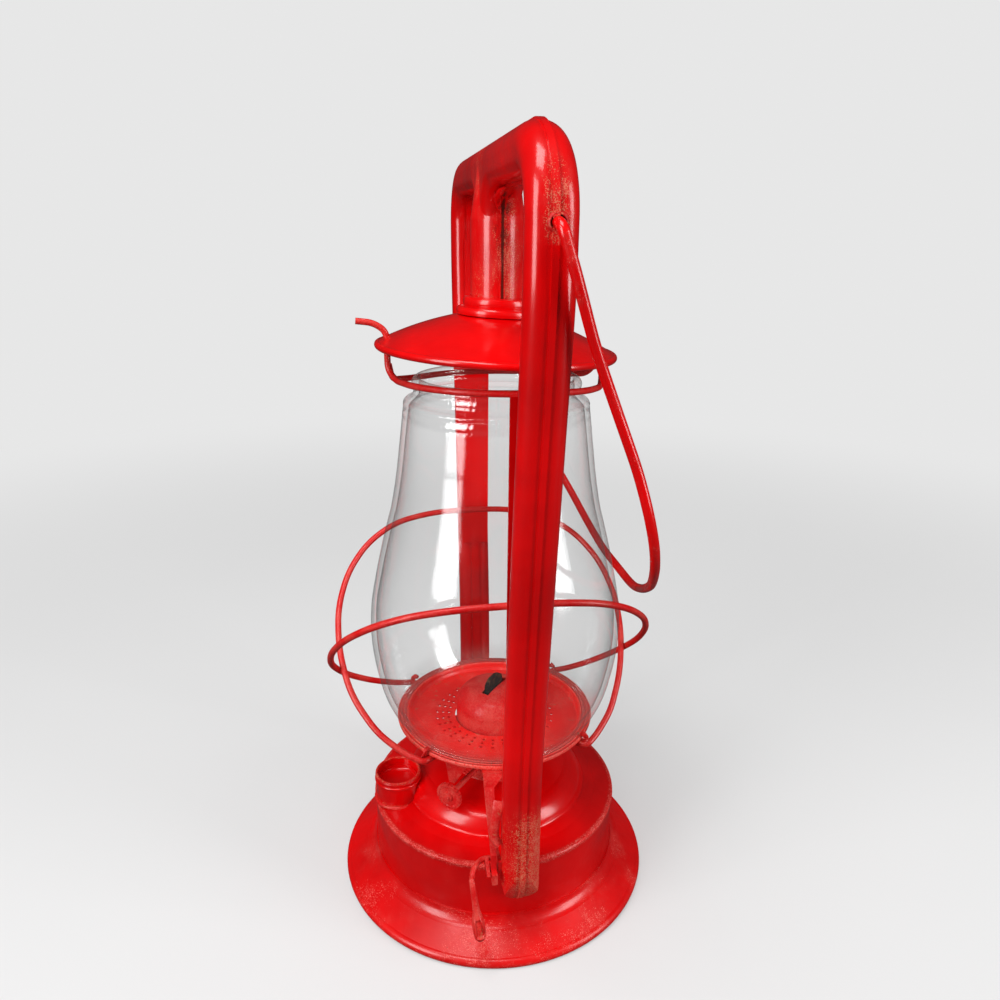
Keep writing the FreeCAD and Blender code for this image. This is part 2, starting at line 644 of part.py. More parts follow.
# Side tubes: two pressed halves each, a rib down the outside and a folded seam down the inside
LEAN = math.radians(worth("tubeLean"))
HALF_DEEP = worth("tubeDepth/2")
HALF_WIDE = worth("tubeWidth/2")


# Tube's centre line in the XZ plane from the top of the toe to the crown's joint
def tube_path():
    x = worth("footOuter") - HALF_DEEP
    low = worth("bendLowRadius")
    high = worth("bendHighRadius")
    start = Vector(x, 0, worth("footTop"))
    low_in = Vector(x, 0, worth("bendLow"))
    low_mid = low_in + Vector(low*(1 - math.cos(LEAN/2)), 0, low*math.sin(LEAN/2))
    low_out = low_in + Vector(low*(1 - math.cos(LEAN)), 0, low*math.sin(LEAN))
    rise = worth("bendHigh") - low_out.z
    high_in = low_out + Vector(rise*math.tan(LEAN), 0, rise)
    turn = Vector(-math.cos(LEAN), 0, math.sin(LEAN))*high
    centre = high_in + turn
    high_mid = centre - Vector(-math.cos(LEAN/2), 0, math.sin(LEAN/2))*high
    high_out = centre + Vector(high, 0, 0)
    return start, low_in, low_mid, low_out, high_in, high_mid, high_out


def line(*points):
    return [Part.LineSegment(a, b).toShape() for a, b in zip(points, points[1:])]


# Closed C section of one half: outer skin with its rib and seam lips, then back along the inside
def half_section(origin):
    rib_half = worth("ribWidth/2")
    seam_half = worth("seamWidth/2")
    wall = worth("sheet")
    corner = worth("tubeCorner")
    outer = HALF_DEEP - worth("ribHigh")
    inner = HALF_DEEP - worth("seamHigh")
    wide = HALF_WIDE
    bend = corner - wall

    def spot(x, y):
        return origin + Vector(x, y, 0)

    def turn(x, y, radius, x_side):
        near = radius*math.sqrt(0.5)
        return spot(x + x_side*near, y - near)

    edges = line(spot(outer - wall, 0), spot(HALF_DEEP, 0), spot(HALF_DEEP, -rib_half),
                 spot(outer, -rib_half), spot(outer, -(wide - corner)))
    edges.append(Part.Arc(spot(outer, -(wide - corner)), turn(outer - corner, -(wide - corner), corner, 1),
                          spot(outer - corner, -wide)).toShape())
    edges += line(spot(outer - corner, -wide), spot(corner - inner, -wide))
    edges.append(Part.Arc(spot(corner - inner, -wide), turn(corner - inner, -(wide - corner), corner, -1),
                          spot(-inner, -(wide - corner))).toShape())
    edges += line(spot(-inner, -(wide - corner)), spot(-inner, -seam_half), spot(-HALF_DEEP, -seam_half),
                  spot(-HALF_DEEP, 0), spot(wall - inner, 0), spot(wall - inner, -(wide - corner)))
    edges.append(Part.Arc(spot(wall - inner, -(wide - corner)),
                          turn(corner - inner, -(wide - corner), bend, -1),
                          spot(corner - inner, wall - wide)).toShape())
    edges += line(spot(corner - inner, wall - wide), spot(outer - corner, wall - wide))
    edges.append(Part.Arc(spot(outer - corner, wall - wide),
                          turn(outer - corner, -(wide - corner), bend, 1),
                          spot(outer - wall, -(wide - corner))).toShape())
    edges += line(spot(outer - wall, -(wide - corner)), spot(outer - wall, 0))
    return Part.Wire(edges)


start, low_in, low_mid, low_out, high_in, high_mid, high_out = tube_path()
tube_line = Part.Wire(line(start, low_in) + [Part.Arc(low_in, low_mid, low_out).toShape()]
                      + line(low_out, high_in) + [Part.Arc(high_in, high_mid, high_out).toShape()])
tube_front = tube_line.makePipeShell([half_section(start)], True, False)
sides = (("right", lambda shape: shape), ("left", lambda shape: mirrored(shape, Vector(1, 0, 0))))
for side, place in sides:
    plain(f"tube_{side}_front", place(tube_front))
    plain(f"tube_{side}_back", place(mirrored(tube_front, Vector(0, 1, 0))))

# Toe: the tube's pointed lower end, closed, beside the fount wall
CROWN_JOINT = high_out.z
LEG_X = high_out.x
toe_inner = worth("creaseRadius")
toe_outer = worth("footOuter - ribHigh")
toe_low = worth("toeHeight")
toe_top = worth("footTop")


def toe_block(inset):
    low = toe_low + inset
    edges = line(Vector(toe_inner + inset, 0, toe_top), Vector(toe_inner + inset, 0, low),
                 Vector(worth("toeReach") - inset, 0, low))
    edges.append(Part.Arc(Vector(worth("toeReach") - inset, 0, low),
                          Vector(toe_outer - 2.2 - inset, 0, (toe_low + toe_top)/2 - 1.2),
                          Vector(toe_outer - inset, 0, toe_top)).toShape())
    edges += line(Vector(toe_outer - inset, 0, toe_top), Vector(toe_inner + inset, 0, toe_top))
    wide = HALF_WIDE - inset
    block = Part.Face(Part.Wire(edges)).extrude(Vector(0, 2*wide, 0))
    block.translate(Vector(0, -wide, 0))
    tube = box(toe_inner + inset, toe_outer - inset, -wide, wide, low, toe_top)
    upright = [edge for edge in tube.Edges if edge.BoundBox.ZLength > 1]
    block = block.common(tube.makeFillet(worth("tubeCorner") - inset, upright))
    prow = low + worth("toePoint")
    half = Part.Arc(Vector(0, -wide, prow), Vector(0, -0.72*wide, low + 0.34*(prow - low)),
                    Vector(0, 0, low)).toShape()
    other = Part.Arc(Vector(0, 0, low), Vector(0, 0.72*wide, low + 0.34*(prow - low)),
                     Vector(0, wide, prow)).toShape()
    arch = line(Vector(0, -wide, toe_top), Vector(0, -wide, prow)) + [half, other]
    arch += line(Vector(0, wide, prow), Vector(0, wide, toe_top), Vector(0, -wide, toe_top))
    return block.common(Part.Face(Part.Wire(arch)).extrude(Vector(2*toe_outer, 0, 0)))


toe = toe_block(0)
toe_rib = Part.Face(Part.Wire(
    line(Vector(toe_outer, 0, toe_top), Vector(toe_outer + worth("ribHigh"), 0, toe_top))
    + [Part.Arc(Vector(toe_outer + worth("ribHigh"), 0, toe_top),
                Vector(toe_outer - 1.5, 0, (toe_low + toe_top)/2 - 1.6),
                Vector(worth("toeReach") + 0.2, 0, toe_low)).toShape()]
    + line(Vector(worth("toeReach") + 0.2, 0, toe_low), Vector(worth("toeReach") - 1, 0, toe_low),
           Vector(worth("toeReach") - 1, 0, toe_low + 5), Vector(toe_outer, 0, toe_top)))
).extrude(Vector(0, worth("ribWidth"), 0))
toe_rib.translate(Vector(0, -worth("ribWidth/2"), 0))
hollow = toe_block(worth("sheet"))
hollow.translate(Vector(0, 0, worth("sheet")))
toe_shell = toe.fuse(toe_rib).cut(hollow).removeSplitter()
for side, place in sides:
    plain(f"tube_{side}_toe", place(toe_shell))


# Strip behind each tube, leaning with its inner face
def tube_at(height):
    run = (height - low_out.z)/(high_in.z - low_out.z)
    return low_out + (high_in - low_out)*run


strip_low = tube_at(worth("stripFoot"))
strip_high = tube_at(worth("stripTop"))
back_off = Vector(HALF_DEEP/math.cos(LEAN), 0, 0)
corners = []
for spot, width in ((strip_low, "stripFootWidth/2"), (strip_high, "stripTopWidth/2")):
    corners.append((spot - back_off, worth(width)))
(low_spot, low_half), (high_spot, high_half) = corners
strip_face = Part.Face(Part.Wire(line(
    low_spot + Vector(0, -low_half, 0), low_spot + Vector(0, low_half, 0),
    high_spot + Vector(0, high_half, 0), high_spot + Vector(0, -high_half, 0),
    low_spot + Vector(0, -low_half, 0))))
strip = strip_face.extrude(Vector(-worth("stripThick"), 0, 0))
for side, place in sides:
    plain(f"tube_{side}_strip", place(strip))

# Crown: a duct over both tubes with the centre tube hanging from it, in two pressed halves
TOP = worth("crownTop - ribHigh")
LEG_OUTER = LEG_X + HALF_DEEP - worth("ribHigh")
LEG_INNER = LEG_X - HALF_DEEP + worth("seamHigh")


def arc_through(start, centre, stop):
    radius = start.distanceToPoint(centre)
    aim = ((start - centre) + (stop - centre)).normalize()
    return Part.Arc(start, centre + aim*radius, stop).toShape()


# Outline of the duct seen from the front, drawn in by the inset; its right half, then mirrored
def duct_outline(inset, low):
    corner = worth("crownCorner") - inset
    arch = worth("archRadius") + inset
    flare = worth("flareRadius") + inset
    outer = LEG_OUTER - inset
    inner = LEG_INNER + inset
    top = TOP - inset
    under = TOP - worth("ductDeep") + inset
    root = worth("centreRadius - flareInset") - inset

    def spot(x, z):
        return Vector(x, 0, z)

    edges = line(spot(0, top), spot(outer - corner, top))
    edges.append(arc_through(spot(outer - corner, top), spot(outer - corner, top - corner),
                             spot(outer, top - corner)))
    edges += line(spot(outer, top - corner), spot(outer, low), spot(inner, low), spot(inner, under - arch))
    edges.append(arc_through(spot(inner, under - arch), spot(inner - arch, under - arch),
                             spot(inner - arch, under)))
    edges += line(spot(inner - arch, under), spot(root + flare, under))
    edges.append(arc_through(spot(root + flare, under), spot(root + flare, under - flare),
                             spot(root, under - flare)))
    edges += line(spot(root, under - flare), spot(0, under - flare))
    half = Part.Wire(edges)
    other = half.mirror(Vector(0, 0, 0), Vector(1, 0, 0))
    return Part.Wire(Part.__sortEdges__(half.Edges + other.Edges))


def duct(inset, low):
    wide = HALF_WIDE - inset
    block = Part.Face(duct_outline(inset, low)).extrude(Vector(0, 2*wide, 0))
    block.translate(Vector(0, -wide, 0))
    foot = worth("crownTop - ductDeep - flareRadius - ribHigh") + inset
    rails = []
    corner = worth("tubeCorner") - inset
    top_round = worth("crownRound") - inset
    shoulder = worth("crownTop - ribHigh - crownCorner")
    for number, edge in enumerate(block.Edges, 1):
        middle = edge.CenterOfMass
        end_edge = abs(middle.z - low) < 0.01 or abs(middle.z - foot) < 0.01
        if abs(abs(middle.y) - wide) > 0.01 or end_edge:
            continue
        radii = [corner, corner]
        for index, end in enumerate((edge.FirstParameter, edge.LastParameter)):
            if edge.valueAt(end).z > shoulder + 0.5 and edge.BoundBox.ZMax > TOP - inset - 0.1:
                radii[index] = top_round
        rails.append((number, *radii))
    soft = doc.addObject("Part::Fillet", "duct_soft")
    soft.Base = doc.addObject("Part::Feature", "duct_block")
    soft.Base.Shape = block
    soft.Edges = rails
    doc.recompute()
    block = soft.Shape
    radius = worth("centreRadius") - inset
    tube_low = worth("centreFoot") if inset == 0 else worth("centreFoot") - 1
    tube_top = worth("crownTop - ductDeep - flareRadius")
    peak = worth("centrePeak") - inset
    column = Part.makeCylinder(radius, tube_top - tube_low, Vector(0, 0, tube_low))
    bulge = Part.makeCone(radius, wide - 0.3, peak - tube_top, Vector(0, 0, tube_top))
    return block.fuse([column, bulge])


crown_hollow = duct(worth("sheet"), CROWN_JOINT - 1)
rib_half = worth("ribWidth/2")
rib_band = Part.Face(duct_outline(-worth("ribHigh"), CROWN_JOINT)).cut(
    Part.Face(duct_outline(0.3, CROWN_JOINT - 1)))
crown_rib = rib_band.extrude(Vector(0, 2*rib_half, 0))
crown_rib.translate(Vector(0, -rib_half, 0))
seam_foot = worth("centreFoot")
seam_top = worth("crownTop - ductDeep - flareRadius") + 4
seam_out = worth("centreRadius + centreSeam")
seam = box(-seam_out, seam_out, -rib_half, rib_half, seam_foot, seam_top)
crown = duct(0, CROWN_JOINT).fuse([crown_rib, seam]).cut(crown_hollow)
bail_pin = worth("bailWire + runGap")
for side in (1, -1):
    start = Vector(side*(LEG_X + 2), worth("bailBack"), worth("bailHeight"))
    crown = crown.cut(Part.makeCylinder(bail_pin, 2*HALF_DEEP, start, Vector(side, 0, 0)))
front_room = box(-2*LEG_X, 2*LEG_X, -2*HALF_WIDE, 0, 0, worth("2*crownTop"))
plain("crown_front", crown.common(front_room))
plain("crown_back", crown.common(mirrored(front_room, Vector(0, 1, 0))))

# Hood: shallow dome that slides on the centre tube, with a rolled rim and a stepped collar
hood = turned("hood", [
    ("hoodBore", "hoodTop"),
    ("collarFlange - 0.5", "hoodTop - 0.4"),
    ("hoodRadius - 2", "hoodRim + hoodBead", "hoodRadius - 17", "hoodTop - 6.2"),
    ("hoodRadius - 2", "hoodRim - hoodBead", "hoodRadius", "hoodRim"),
    ("hoodRadius - 2.6", "hoodRim + 0.4", "hoodRadius - 3.2", "hoodRim - 0.6"),
    ("collarFlange - 0.5", "hoodTop - 0.4 - sheet", "hoodRadius - 17.3", "hoodTop - 6.3 - sheet"),
    ("hoodBore", "hoodTop - sheet"),
])
sketch = new_sketch(hood, "catch_hole", "XY_Plane", "hoodRim + 0.4")
circle(sketch, "catchX", "catchY + 0.15", "catchWire + seatGap")
pocket(hood, "catch_pocket", sketch)
hood_collar = turned("hood_collar", [
    ("hoodBore", "hoodTop"),
    ("collarFlange - 0.4", "hoodTop"),
    ("collarFlange - 0.6", "hoodTop + 3", "collarFlange", "hoodTop + 1.5"),
    ("collarNeck - 0.4", "hoodTop + 3.5"),
    ("collarNeck - 0.5", "hoodTop + hoodCollar - 0.5", "collarNeck", "hoodTop + 5.4"),
    ("hoodBore", "hoodTop + hoodCollar"),
])
lean = Rotation(Vector(1, 0, 0), worth("hoodLean"))
for item in (hood, hood_collar):
    item.Placement = Placement(Vector(), lean, Vector(0, 0, worth("hoodRim + 7.6")))

# Catch wire: finger hook, stem through the hood, then a strand round each side of the globe's neck
CATCH_X = worth("catchX")
CATCH_Y = worth("catchY")
NEAR_Z = worth("lipHeight - 0.6")
FAR_Z = worth("lipHeight - 4.6")


# Spot beside the globe's neck, by its angle from +X and its distance in neck radii
def by_neck(angle, share, z):
    reach = share*worth("globeNeck")
    return (reach*math.cos(math.radians(angle)), reach*math.sin(math.radians(angle)), z)


HOOK = worth("hookReach")
HOOK_Z = NEAR_Z + worth("hookRise")
catch_wire = swept(route([
    (CATCH_X, CATCH_Y - HOOK, HOOK_Z), (CATCH_X, CATCH_Y - 0.43*HOOK, HOOK_Z - 0.8),
    (CATCH_X, CATCH_Y, HOOK_Z - 4.6), (CATCH_X, CATCH_Y, NEAR_Z + 3),
    by_neck(-90, 1.196, NEAR_Z - 0.8), by_neck(-61.9, 1.155, NEAR_Z), by_neck(-30.6, 1.121, NEAR_Z + 0.2),
    by_neck(0, 1.098, NEAR_Z), by_neck(26.9, 1.142, NEAR_Z - 0.6), by_neck(50.5, 1.19, NEAR_Z - 1.8),
    by_neck(73.7, 1.24, NEAR_Z - 3.2), by_neck(87.7, 1.29, NEAR_Z - 1.6), by_neck(89.4, 1.3, NEAR_Z + 9.6),
]), worth("catchWire"))
doc.recompute()
plain("catch_wire", clear_of(catch_wire, hood.Shape))
catch_loop = swept(route([
    (CATCH_X - 3.1, CATCH_Y + 0.6, NEAR_Z + 5), (CATCH_X - 5, CATCH_Y + 2, FAR_Z + 2),
    by_neck(-125.7, 1.188, FAR_Z), by_neck(-152.8, 1.13, FAR_Z), by_neck(178.6, 1.098, FAR_Z),
    by_neck(151.6, 1.143, FAR_Z), by_neck(125.9, 1.158, FAR_Z + 0.6), by_neck(102.3, 1.21, FAR_Z + 3),
    by_neck(96.1, 1.285, FAR_Z + 9), by_neck(95.8, 1.295, FAR_Z + 15.6),
]), worth("catchWire"))
plain("catch_loop", clear_of(catch_loop, hood.Shape))

# Bail: drawn hanging straight down from its pivot, then leaned back about the pivot; side points are
# shares of the drop, outwards from the leg, back and down
BAIL_SIDE = [
    (0, -0.004, 0.107), (-0.024, -0.0055, 0.226), (-0.045, 0.002, 0.356), (-0.047, 0.006, 0.499),
    (-0.039, -0.001, 0.588), (-0.053, -0.0065, 0.665), (-0.095, -0.009, 0.733), (-0.16, -0.006, 0.795),
]
drop = worth("bailDrop")
leg = worth("bailLeg")
pivot = Vector(0, worth("bailBack"), worth("bailHeight"))
bail_half = [(LEG_X + 1.5, 0, 0), (leg, 0, 0)]
for across, behind, down in BAIL_SIDE:
    bail_half.append((leg + across*drop, behind*drop, -down*drop))
bail_half += [(leg*0.6, 0, -0.8635*drop), (leg*0.43, 0, -0.926*drop), (leg*0.23, 0, -0.979*drop)]
bail = swept(route(bail_half + [(-x, y, z) for x, y, z in reversed(bail_half)]), worth("bailWire"))
bail.rotate(Vector(), Vector(1, 0, 0), worth("bailRest"))
bail.translate(pivot)
plain("bail", bail)


# Face of a bent sheet seen from the front: (x, z) corners along its middle, square ends
def ribbon(spots, thick):
    near = []
    far = []
    for index, (x, z) in enumerate(spots):
        here = Vector(x, 0, z)
        aims = []
        if index > 0:
            aims.append((here - Vector(spots[index - 1][0], 0, spots[index - 1][1])).normalize())
        if index < len(spots) - 1:
            aims.append((Vector(spots[index + 1][0], 0, spots[index + 1][1]) - here).normalize())
        aim = sum(aims, Vector()).normalize()
        reach = thick/2/aim.dot(aims[0])
        side = Vector(aim.z, 0, -aim.x)*reach
        near.append(here - side)
        far.append(here + side)
    corners = near + far[::-1]
    return Part.Face(Part.Wire(line(*corners, corners[0])))


# Lift: a tab and slanting strap on the plate, worked by a crank on the lever beside the tube
strap_x = worth("strapX")
strap_y = worth("strapY")
half_strap = worth("strapWidth/2")
thick = worth("strapThick")
tab_top = worth("plateHeight - 2.08")
arm = worth("carriageRise")
pin_x = worth("leverX") + arm*math.cos(math.radians(30))
pin_z = worth("leverZ") - arm/2
tab_root = worth("trayRadius + 0.6")
tab_out = worth("plateRadius + 1.2")
bend_z = worth("strapBend")
band = ribbon([(tab_root, tab_top - thick/2), (tab_out, tab_top - thick/2), (tab_out + 2, tab_top - 5.3),
               (strap_x, bend_z), (strap_x + 1.2, pin_z)], thick).extrude(Vector(0, 20, 0))
band.translate(Vector(0, strap_y - 10, 0))
strap_left = strap_y - half_strap
strap_right = strap_y + half_strap
band = band.common(Part.Face(Part.Wire(line(
    Vector(0, strap_left - 0.4, tab_top), Vector(0, strap_left, bend_z), Vector(0, strap_left, pin_z),
    Vector(0, strap_right, pin_z), Vector(0, strap_right, bend_z),
    Vector(0, strap_right + 1.8, tab_top - 5.3),
    Vector(0, strap_y + 7, tab_top - thick), Vector(0, strap_y + 7, tab_top),
    Vector(0, strap_left - 0.4, tab_top)))).extrude(Vector(2*strap_x, 0, 0)))
pin = worth("leverWire - 0.15")
slot = pin + worth("seatGap")/2
slot_end = arm*(1 - math.cos(math.radians(30)))
foot = box(pin_x - 3.2, pin_x + 4.2, strap_y - half_strap, strap_y + half_strap, pin_z - 2.2, pin_z + 3)
slot_cut = box(pin_x - slot, pin_x + slot_end + slot, strap_y - 5, strap_y + 5, pin_z - slot, pin_z + slot)
plain("lift_strap", band.fuse(foot).cut(slot_cut).removeSplitter())

crank_y = strap_y - half_strap - 0.4
lever_x = worth("leverX")
lever_z = worth("leverZ")
lever_out = worth("strapY - 10.3")
bracket_face = -HALF_WIDE - 1.4
thumb = new_body("thumb_piece")
sketch = new_sketch(thumb, "thumb_outline", "YZ_Plane")
outline(sketch, [
    ("-thumbWidth/2", "0"),
    ("thumbWidth/2", "0", "0", "thumbWidth/2"),
    ("thumbWidth/2", "-thumbLong"),
    ("-thumbWidth/2", "-thumbLong", "0", "-thumbLong - thumbWidth/2"),
])
pad(thumb, "thumb_pad", sketch, "thumbThick", True)
thumb_turn = Rotation(Vector(0, 0, 1), -28)*Rotation(Vector(0, 1, 0), -6.7)*Rotation(Vector(1, 0, 0), 11.6)
thumb.Placement = Placement(Vector(lever_x + 9.6, lever_out, lever_z - 2.6), thumb_turn)

lever_wire = swept(route([
    (lever_x, bracket_face + 1.2, lever_z), (lever_x, lever_out + 5.6, lever_z),
    (lever_x + 5, lever_out + 1.4, lever_z - 0.4), (lever_x + 9.4, lever_out, lever_z - 2.6),
]), worth("leverWire"))
web = Part.Face(Part.Wire(line(
    Vector(lever_x - 1, crank_y, lever_z - 2), Vector(pin_x - 1, crank_y, pin_z - 2),
    Vector(pin_x + 2, crank_y, pin_z + 0.6), Vector(lever_x + 1.4, crank_y, lever_z + 2),
    Vector(lever_x - 1, crank_y, lever_z - 2)))).extrude(Vector(0, -1.5, 0))
crank_pin = Part.makeCylinder(pin, 2*half_strap + 0.6, Vector(pin_x, crank_y - 0.1, pin_z), Vector(0, 1, 0))
doc.recompute()
plain("lift_lever", lever_wire.fuse([web, crank_pin]).removeSplitter().cut(thumb.Shape))

bracket = new_body("lever_bracket")
sketch = new_sketch(bracket, "bracket_outline", "XZ_Plane", "tubeWidth/2")
rectangle(sketch, "leverX - 3.2", "leverX + 6.5", "leverZ - 3", "leverZ + 3")
circle(sketch, "leverX", "leverZ", "leverWire + runGap")
pad(bracket, "bracket_pad", sketch, "1.4")


# Every piece must be sound before it is written
doc.recompute()
for item in doc.Objects:
    for state in ("Invalid", "Error"):
        if state in item.State:
            raise RuntimeError(item.Name + " is " + state)
os.makedirs("parts", exist_ok=True)
for item in parts:
    if item.Shape.isNull() or not item.Shape.isValid():
        raise RuntimeError(item.Label + " has no sound shape")
    item.Shape.exportStep(f"parts/{item.Label}.step")
    print(item.Label, len(item.Shape.Solids), round(item.Shape.Volume, 1))
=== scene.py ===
import bpy
import math
from mathutils import Matrix, Vector


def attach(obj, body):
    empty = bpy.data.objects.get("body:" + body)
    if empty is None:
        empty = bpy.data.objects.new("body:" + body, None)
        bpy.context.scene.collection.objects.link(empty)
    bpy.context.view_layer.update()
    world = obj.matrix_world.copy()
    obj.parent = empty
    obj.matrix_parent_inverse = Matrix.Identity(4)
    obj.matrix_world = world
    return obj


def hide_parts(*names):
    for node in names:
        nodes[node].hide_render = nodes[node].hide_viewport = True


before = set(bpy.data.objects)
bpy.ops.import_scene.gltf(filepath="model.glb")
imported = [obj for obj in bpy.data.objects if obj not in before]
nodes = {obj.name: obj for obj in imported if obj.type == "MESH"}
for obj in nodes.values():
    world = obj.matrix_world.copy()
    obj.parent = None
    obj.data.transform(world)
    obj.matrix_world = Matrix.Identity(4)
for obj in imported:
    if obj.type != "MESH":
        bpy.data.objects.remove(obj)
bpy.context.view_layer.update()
print("frame loaded:", len(nodes), "nodes")

# photo camera, solved from the picture
view = {
    "spot": Vector((0.34441, -0.059475, 0.31541)),
    "aim": Vector((-0.93312, 0.16643, -0.31874)),
    "roll": 0.0086,
    "focal": 0.794,  # focal length over the picture's side
    "sensor": 36,
    "near": 0.01,
}


def lookAlong(aim, roll):
    right = aim.cross(Vector((0, 0, 1))).normalized()
    up = right.cross(aim).normalized()
    side = right * math.cos(roll) + up * math.sin(roll)
    top = up * math.cos(roll) - right * math.sin(roll)
    return Matrix((side, top, -aim)).transposed()


def makeCamera():
    data = bpy.data.cameras.new("photoCamera")
    data.sensor_width = view["sensor"]
    data.lens = view["sensor"] * view["focal"]
    data.clip_start = view["near"]
    camera = bpy.data.objects.new("photoCamera", data)
    bpy.context.scene.collection.objects.link(camera)
    turn = lookAlong(view["aim"].normalized(), view["roll"])
    camera.matrix_world = Matrix.Translation(view["spot"]) @ turn.to_4x4()
    bpy.context.scene.camera = camera


makeCamera()


# modelling tools: every new piece is a primitive worked on in edit mode
weldGap = 0.000002
leastTurn = 0.0001


def startPiece():
    if bpy.context.mode != "OBJECT":
        bpy.ops.object.mode_set(mode="OBJECT")
    bpy.ops.object.select_all(action="DESELECT")


def editPart(kind, every=True):
    bpy.ops.object.mode_set(mode="EDIT")
    bpy.ops.mesh.select_mode(type=kind)
    if every:
        bpy.ops.mesh.select_all(action="SELECT")


def endPiece(name, body, smooth=40):
    editPart("VERT")
    bpy.ops.mesh.remove_doubles(threshold=weldGap)
    bpy.ops.mesh.normals_make_consistent(inside=False)
    bpy.ops.object.mode_set(mode="OBJECT")
    bpy.ops.object.transform_apply(location=True, rotation=True, scale=True)
    bpy.ops.object.shade_smooth_by_angle(angle=math.radians(smooth))
    piece = bpy.context.object
    piece.name = piece.data.name = name
    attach(piece, body)
    return piece


# turns what is selected from one direction to another round a spot
def turnSelected(old, new, spot):
    axis, angle = old.rotation_difference(new).to_axis_angle()
    if abs(angle) > leastTurn:
        bpy.ops.transform.rotate(value=-angle, orient_axis="Z", orient_type="GLOBAL",
                                 orient_matrix_type="GLOBAL", center_override=spot,
                                 orient_matrix=axis.to_track_quat("Z", "Y").to_matrix())


# scales what is selected across and along an aim, round a spot
def scaleSelected(turn, across, along, spot):
    bpy.ops.transform.resize(value=(across, across, along), orient_type="GLOBAL",
                             orient_matrix_type="GLOBAL", orient_matrix=turn.to_matrix(),
                             center_override=spot)


# a round bar along spots, with a radius at each
def sweepBar(name, body, spots, radii, sides=14, smooth=40):
    spots = [Vector(spot) for spot in spots]
    aims = []
    for index, spot in enumerate(spots):
        before = spots[max(index - 1, 0)]
        after = spots[min(index + 1, len(spots) - 1)]
        aims.append((after - before).normalized())
    startPiece()
    bpy.ops.mesh.primitive_circle_add(vertices=sides, radius=radii[0], fill_type="NGON",
                                      location=spots[0],
                                      rotation=aims[0].to_track_quat("Z", "Y").to_euler())
    editPart("FACE")
    for index in range(1, len(spots)):
        step = spots[index] - spots[index - 1]
        bpy.ops.mesh.extrude_region_move(TRANSFORM_OT_translate={"value": step})
        turnSelected(aims[index - 1], aims[index], spots[index])
        share = radii[index] / radii[index - 1]
        bpy.ops.transform.resize(value=(share, share, share), center_override=spots[index])
    return endPiece(name, body, smooth)


# a turned shape: rings of (radius, height) along an axis; it closes where the last ring is the first one
def turnRings(name, body, spot, aim, rings, sides=48, smooth=40):
    spot = Vector(spot)
    aim = Vector(aim).normalized()
    startPiece()
    bpy.ops.mesh.primitive_circle_add(vertices=sides, radius=rings[0][0], fill_type="NOTHING",
                                      location=spot + aim * rings[0][1],
                                      rotation=aim.to_track_quat("Z", "Y").to_euler())
    editPart("EDGE")
    for (oldRadius, oldHeight), (radius, height) in zip(rings, rings[1:]):
        bpy.ops.mesh.extrude_region_move(TRANSFORM_OT_translate={"value": aim * (height - oldHeight)})
        share = radius / oldRadius
        bpy.ops.transform.resize(value=(share, share, share), center_override=spot + aim * height)
    return endPiece(name, body, smooth)


# (radius, height) spots on part of a circle, for beads and rolled lips
def arcRings(centre, size, start, stop, count):
    rings = []
    for step in range(count + 1):
        angle = math.radians(start + (stop - start) * step / count)
        rings.append((centre[0] + size * math.cos(angle), centre[1] + size * math.sin(angle)))
    return rings


# wick knob: notched disc with a dished face, a raised edge and a riveted hub
knob = {
    "spot": Vector((0.03641, -0.02701, 0.0655)), "aim": Vector((0.75471, -0.65606, 0)), "radius": 0.0066,
    "thick": 0.0016, "notches": 22, "perNotch": 4, "notchDepth": 0.90,
    "rings": [  # radius and half the thickness, from the edge to the pin
        (0.0055, 0.00090), (0.0051, 0.00055), (0.0026, 0.00055), (0.0022, 0.00140),
        (0.0012, 0.00150), (0.0010, 0.00220), (0.0006, 0.00240),
    ],
}


def makeKnob():
    startPiece()
    middle = knob["spot"] + knob["aim"] * knob["thick"] / 2
    turn = knob["aim"].to_track_quat("Z", "Y")
    bpy.ops.mesh.primitive_cylinder_add(vertices=knob["notches"] * knob["perNotch"],
                                        radius=knob["radius"], depth=knob["thick"],
                                        location=middle, rotation=turn.to_euler())
    piece = bpy.context.object
    editPart("VERT", every=False)
    bpy.ops.mesh.select_all(action="DESELECT")
    bpy.ops.object.mode_set(mode="OBJECT")
    for index, vertex in enumerate(piece.data.vertices):
        vertex.select = index // 2 % knob["perNotch"] == 0
    editPart("VERT", every=False)
    scaleSelected(turn, knob["notchDepth"], 1, middle)
    bpy.ops.mesh.select_all(action="DESELECT")
    bpy.ops.mesh.select_mode(type="FACE")
    bpy.ops.mesh.select_face_by_sides(number=4, type="GREATER", extend=False)
    before = (knob["radius"], knob["thick"] / 2)
    for radius, half in knob["rings"]:
        bpy.ops.mesh.extrude_region_move()
        scaleSelected(turn, radius / before[0], half / before[1], middle)
        before = (radius, half)
    piece = endPiece("wickKnob", "raiser", 30)
    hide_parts("wick_knob")
    return [piece]


# flat wick: woven strip in its tube, charred and frayed at the top, its far edge burnt away
wick = {
    "foot": 0.020, "turn": math.radians(-41), "width": 0.0156, "thick": 0.0019,
    "steps": [  # height, lean of the near edge along the width, share of the width
        (0.0600, 0, 1.0), (0.0900, 0, 1.0), (0.0945, 0, 0.98), (0.0965, 0, 0.95),
        (0.0985, 0.0001, 0.92), (0.1000, 0.0001, 0.90), (0.1015, 0, 0.88), (0.1028, -0.0002, 0.85),
        (0.1040, -0.0008, 0.75), (0.1050, -0.0014, 0.55), (0.1056, -0.0018, 0.30),
    ],
    "cuts": 9, "fray": 0.0002,
}


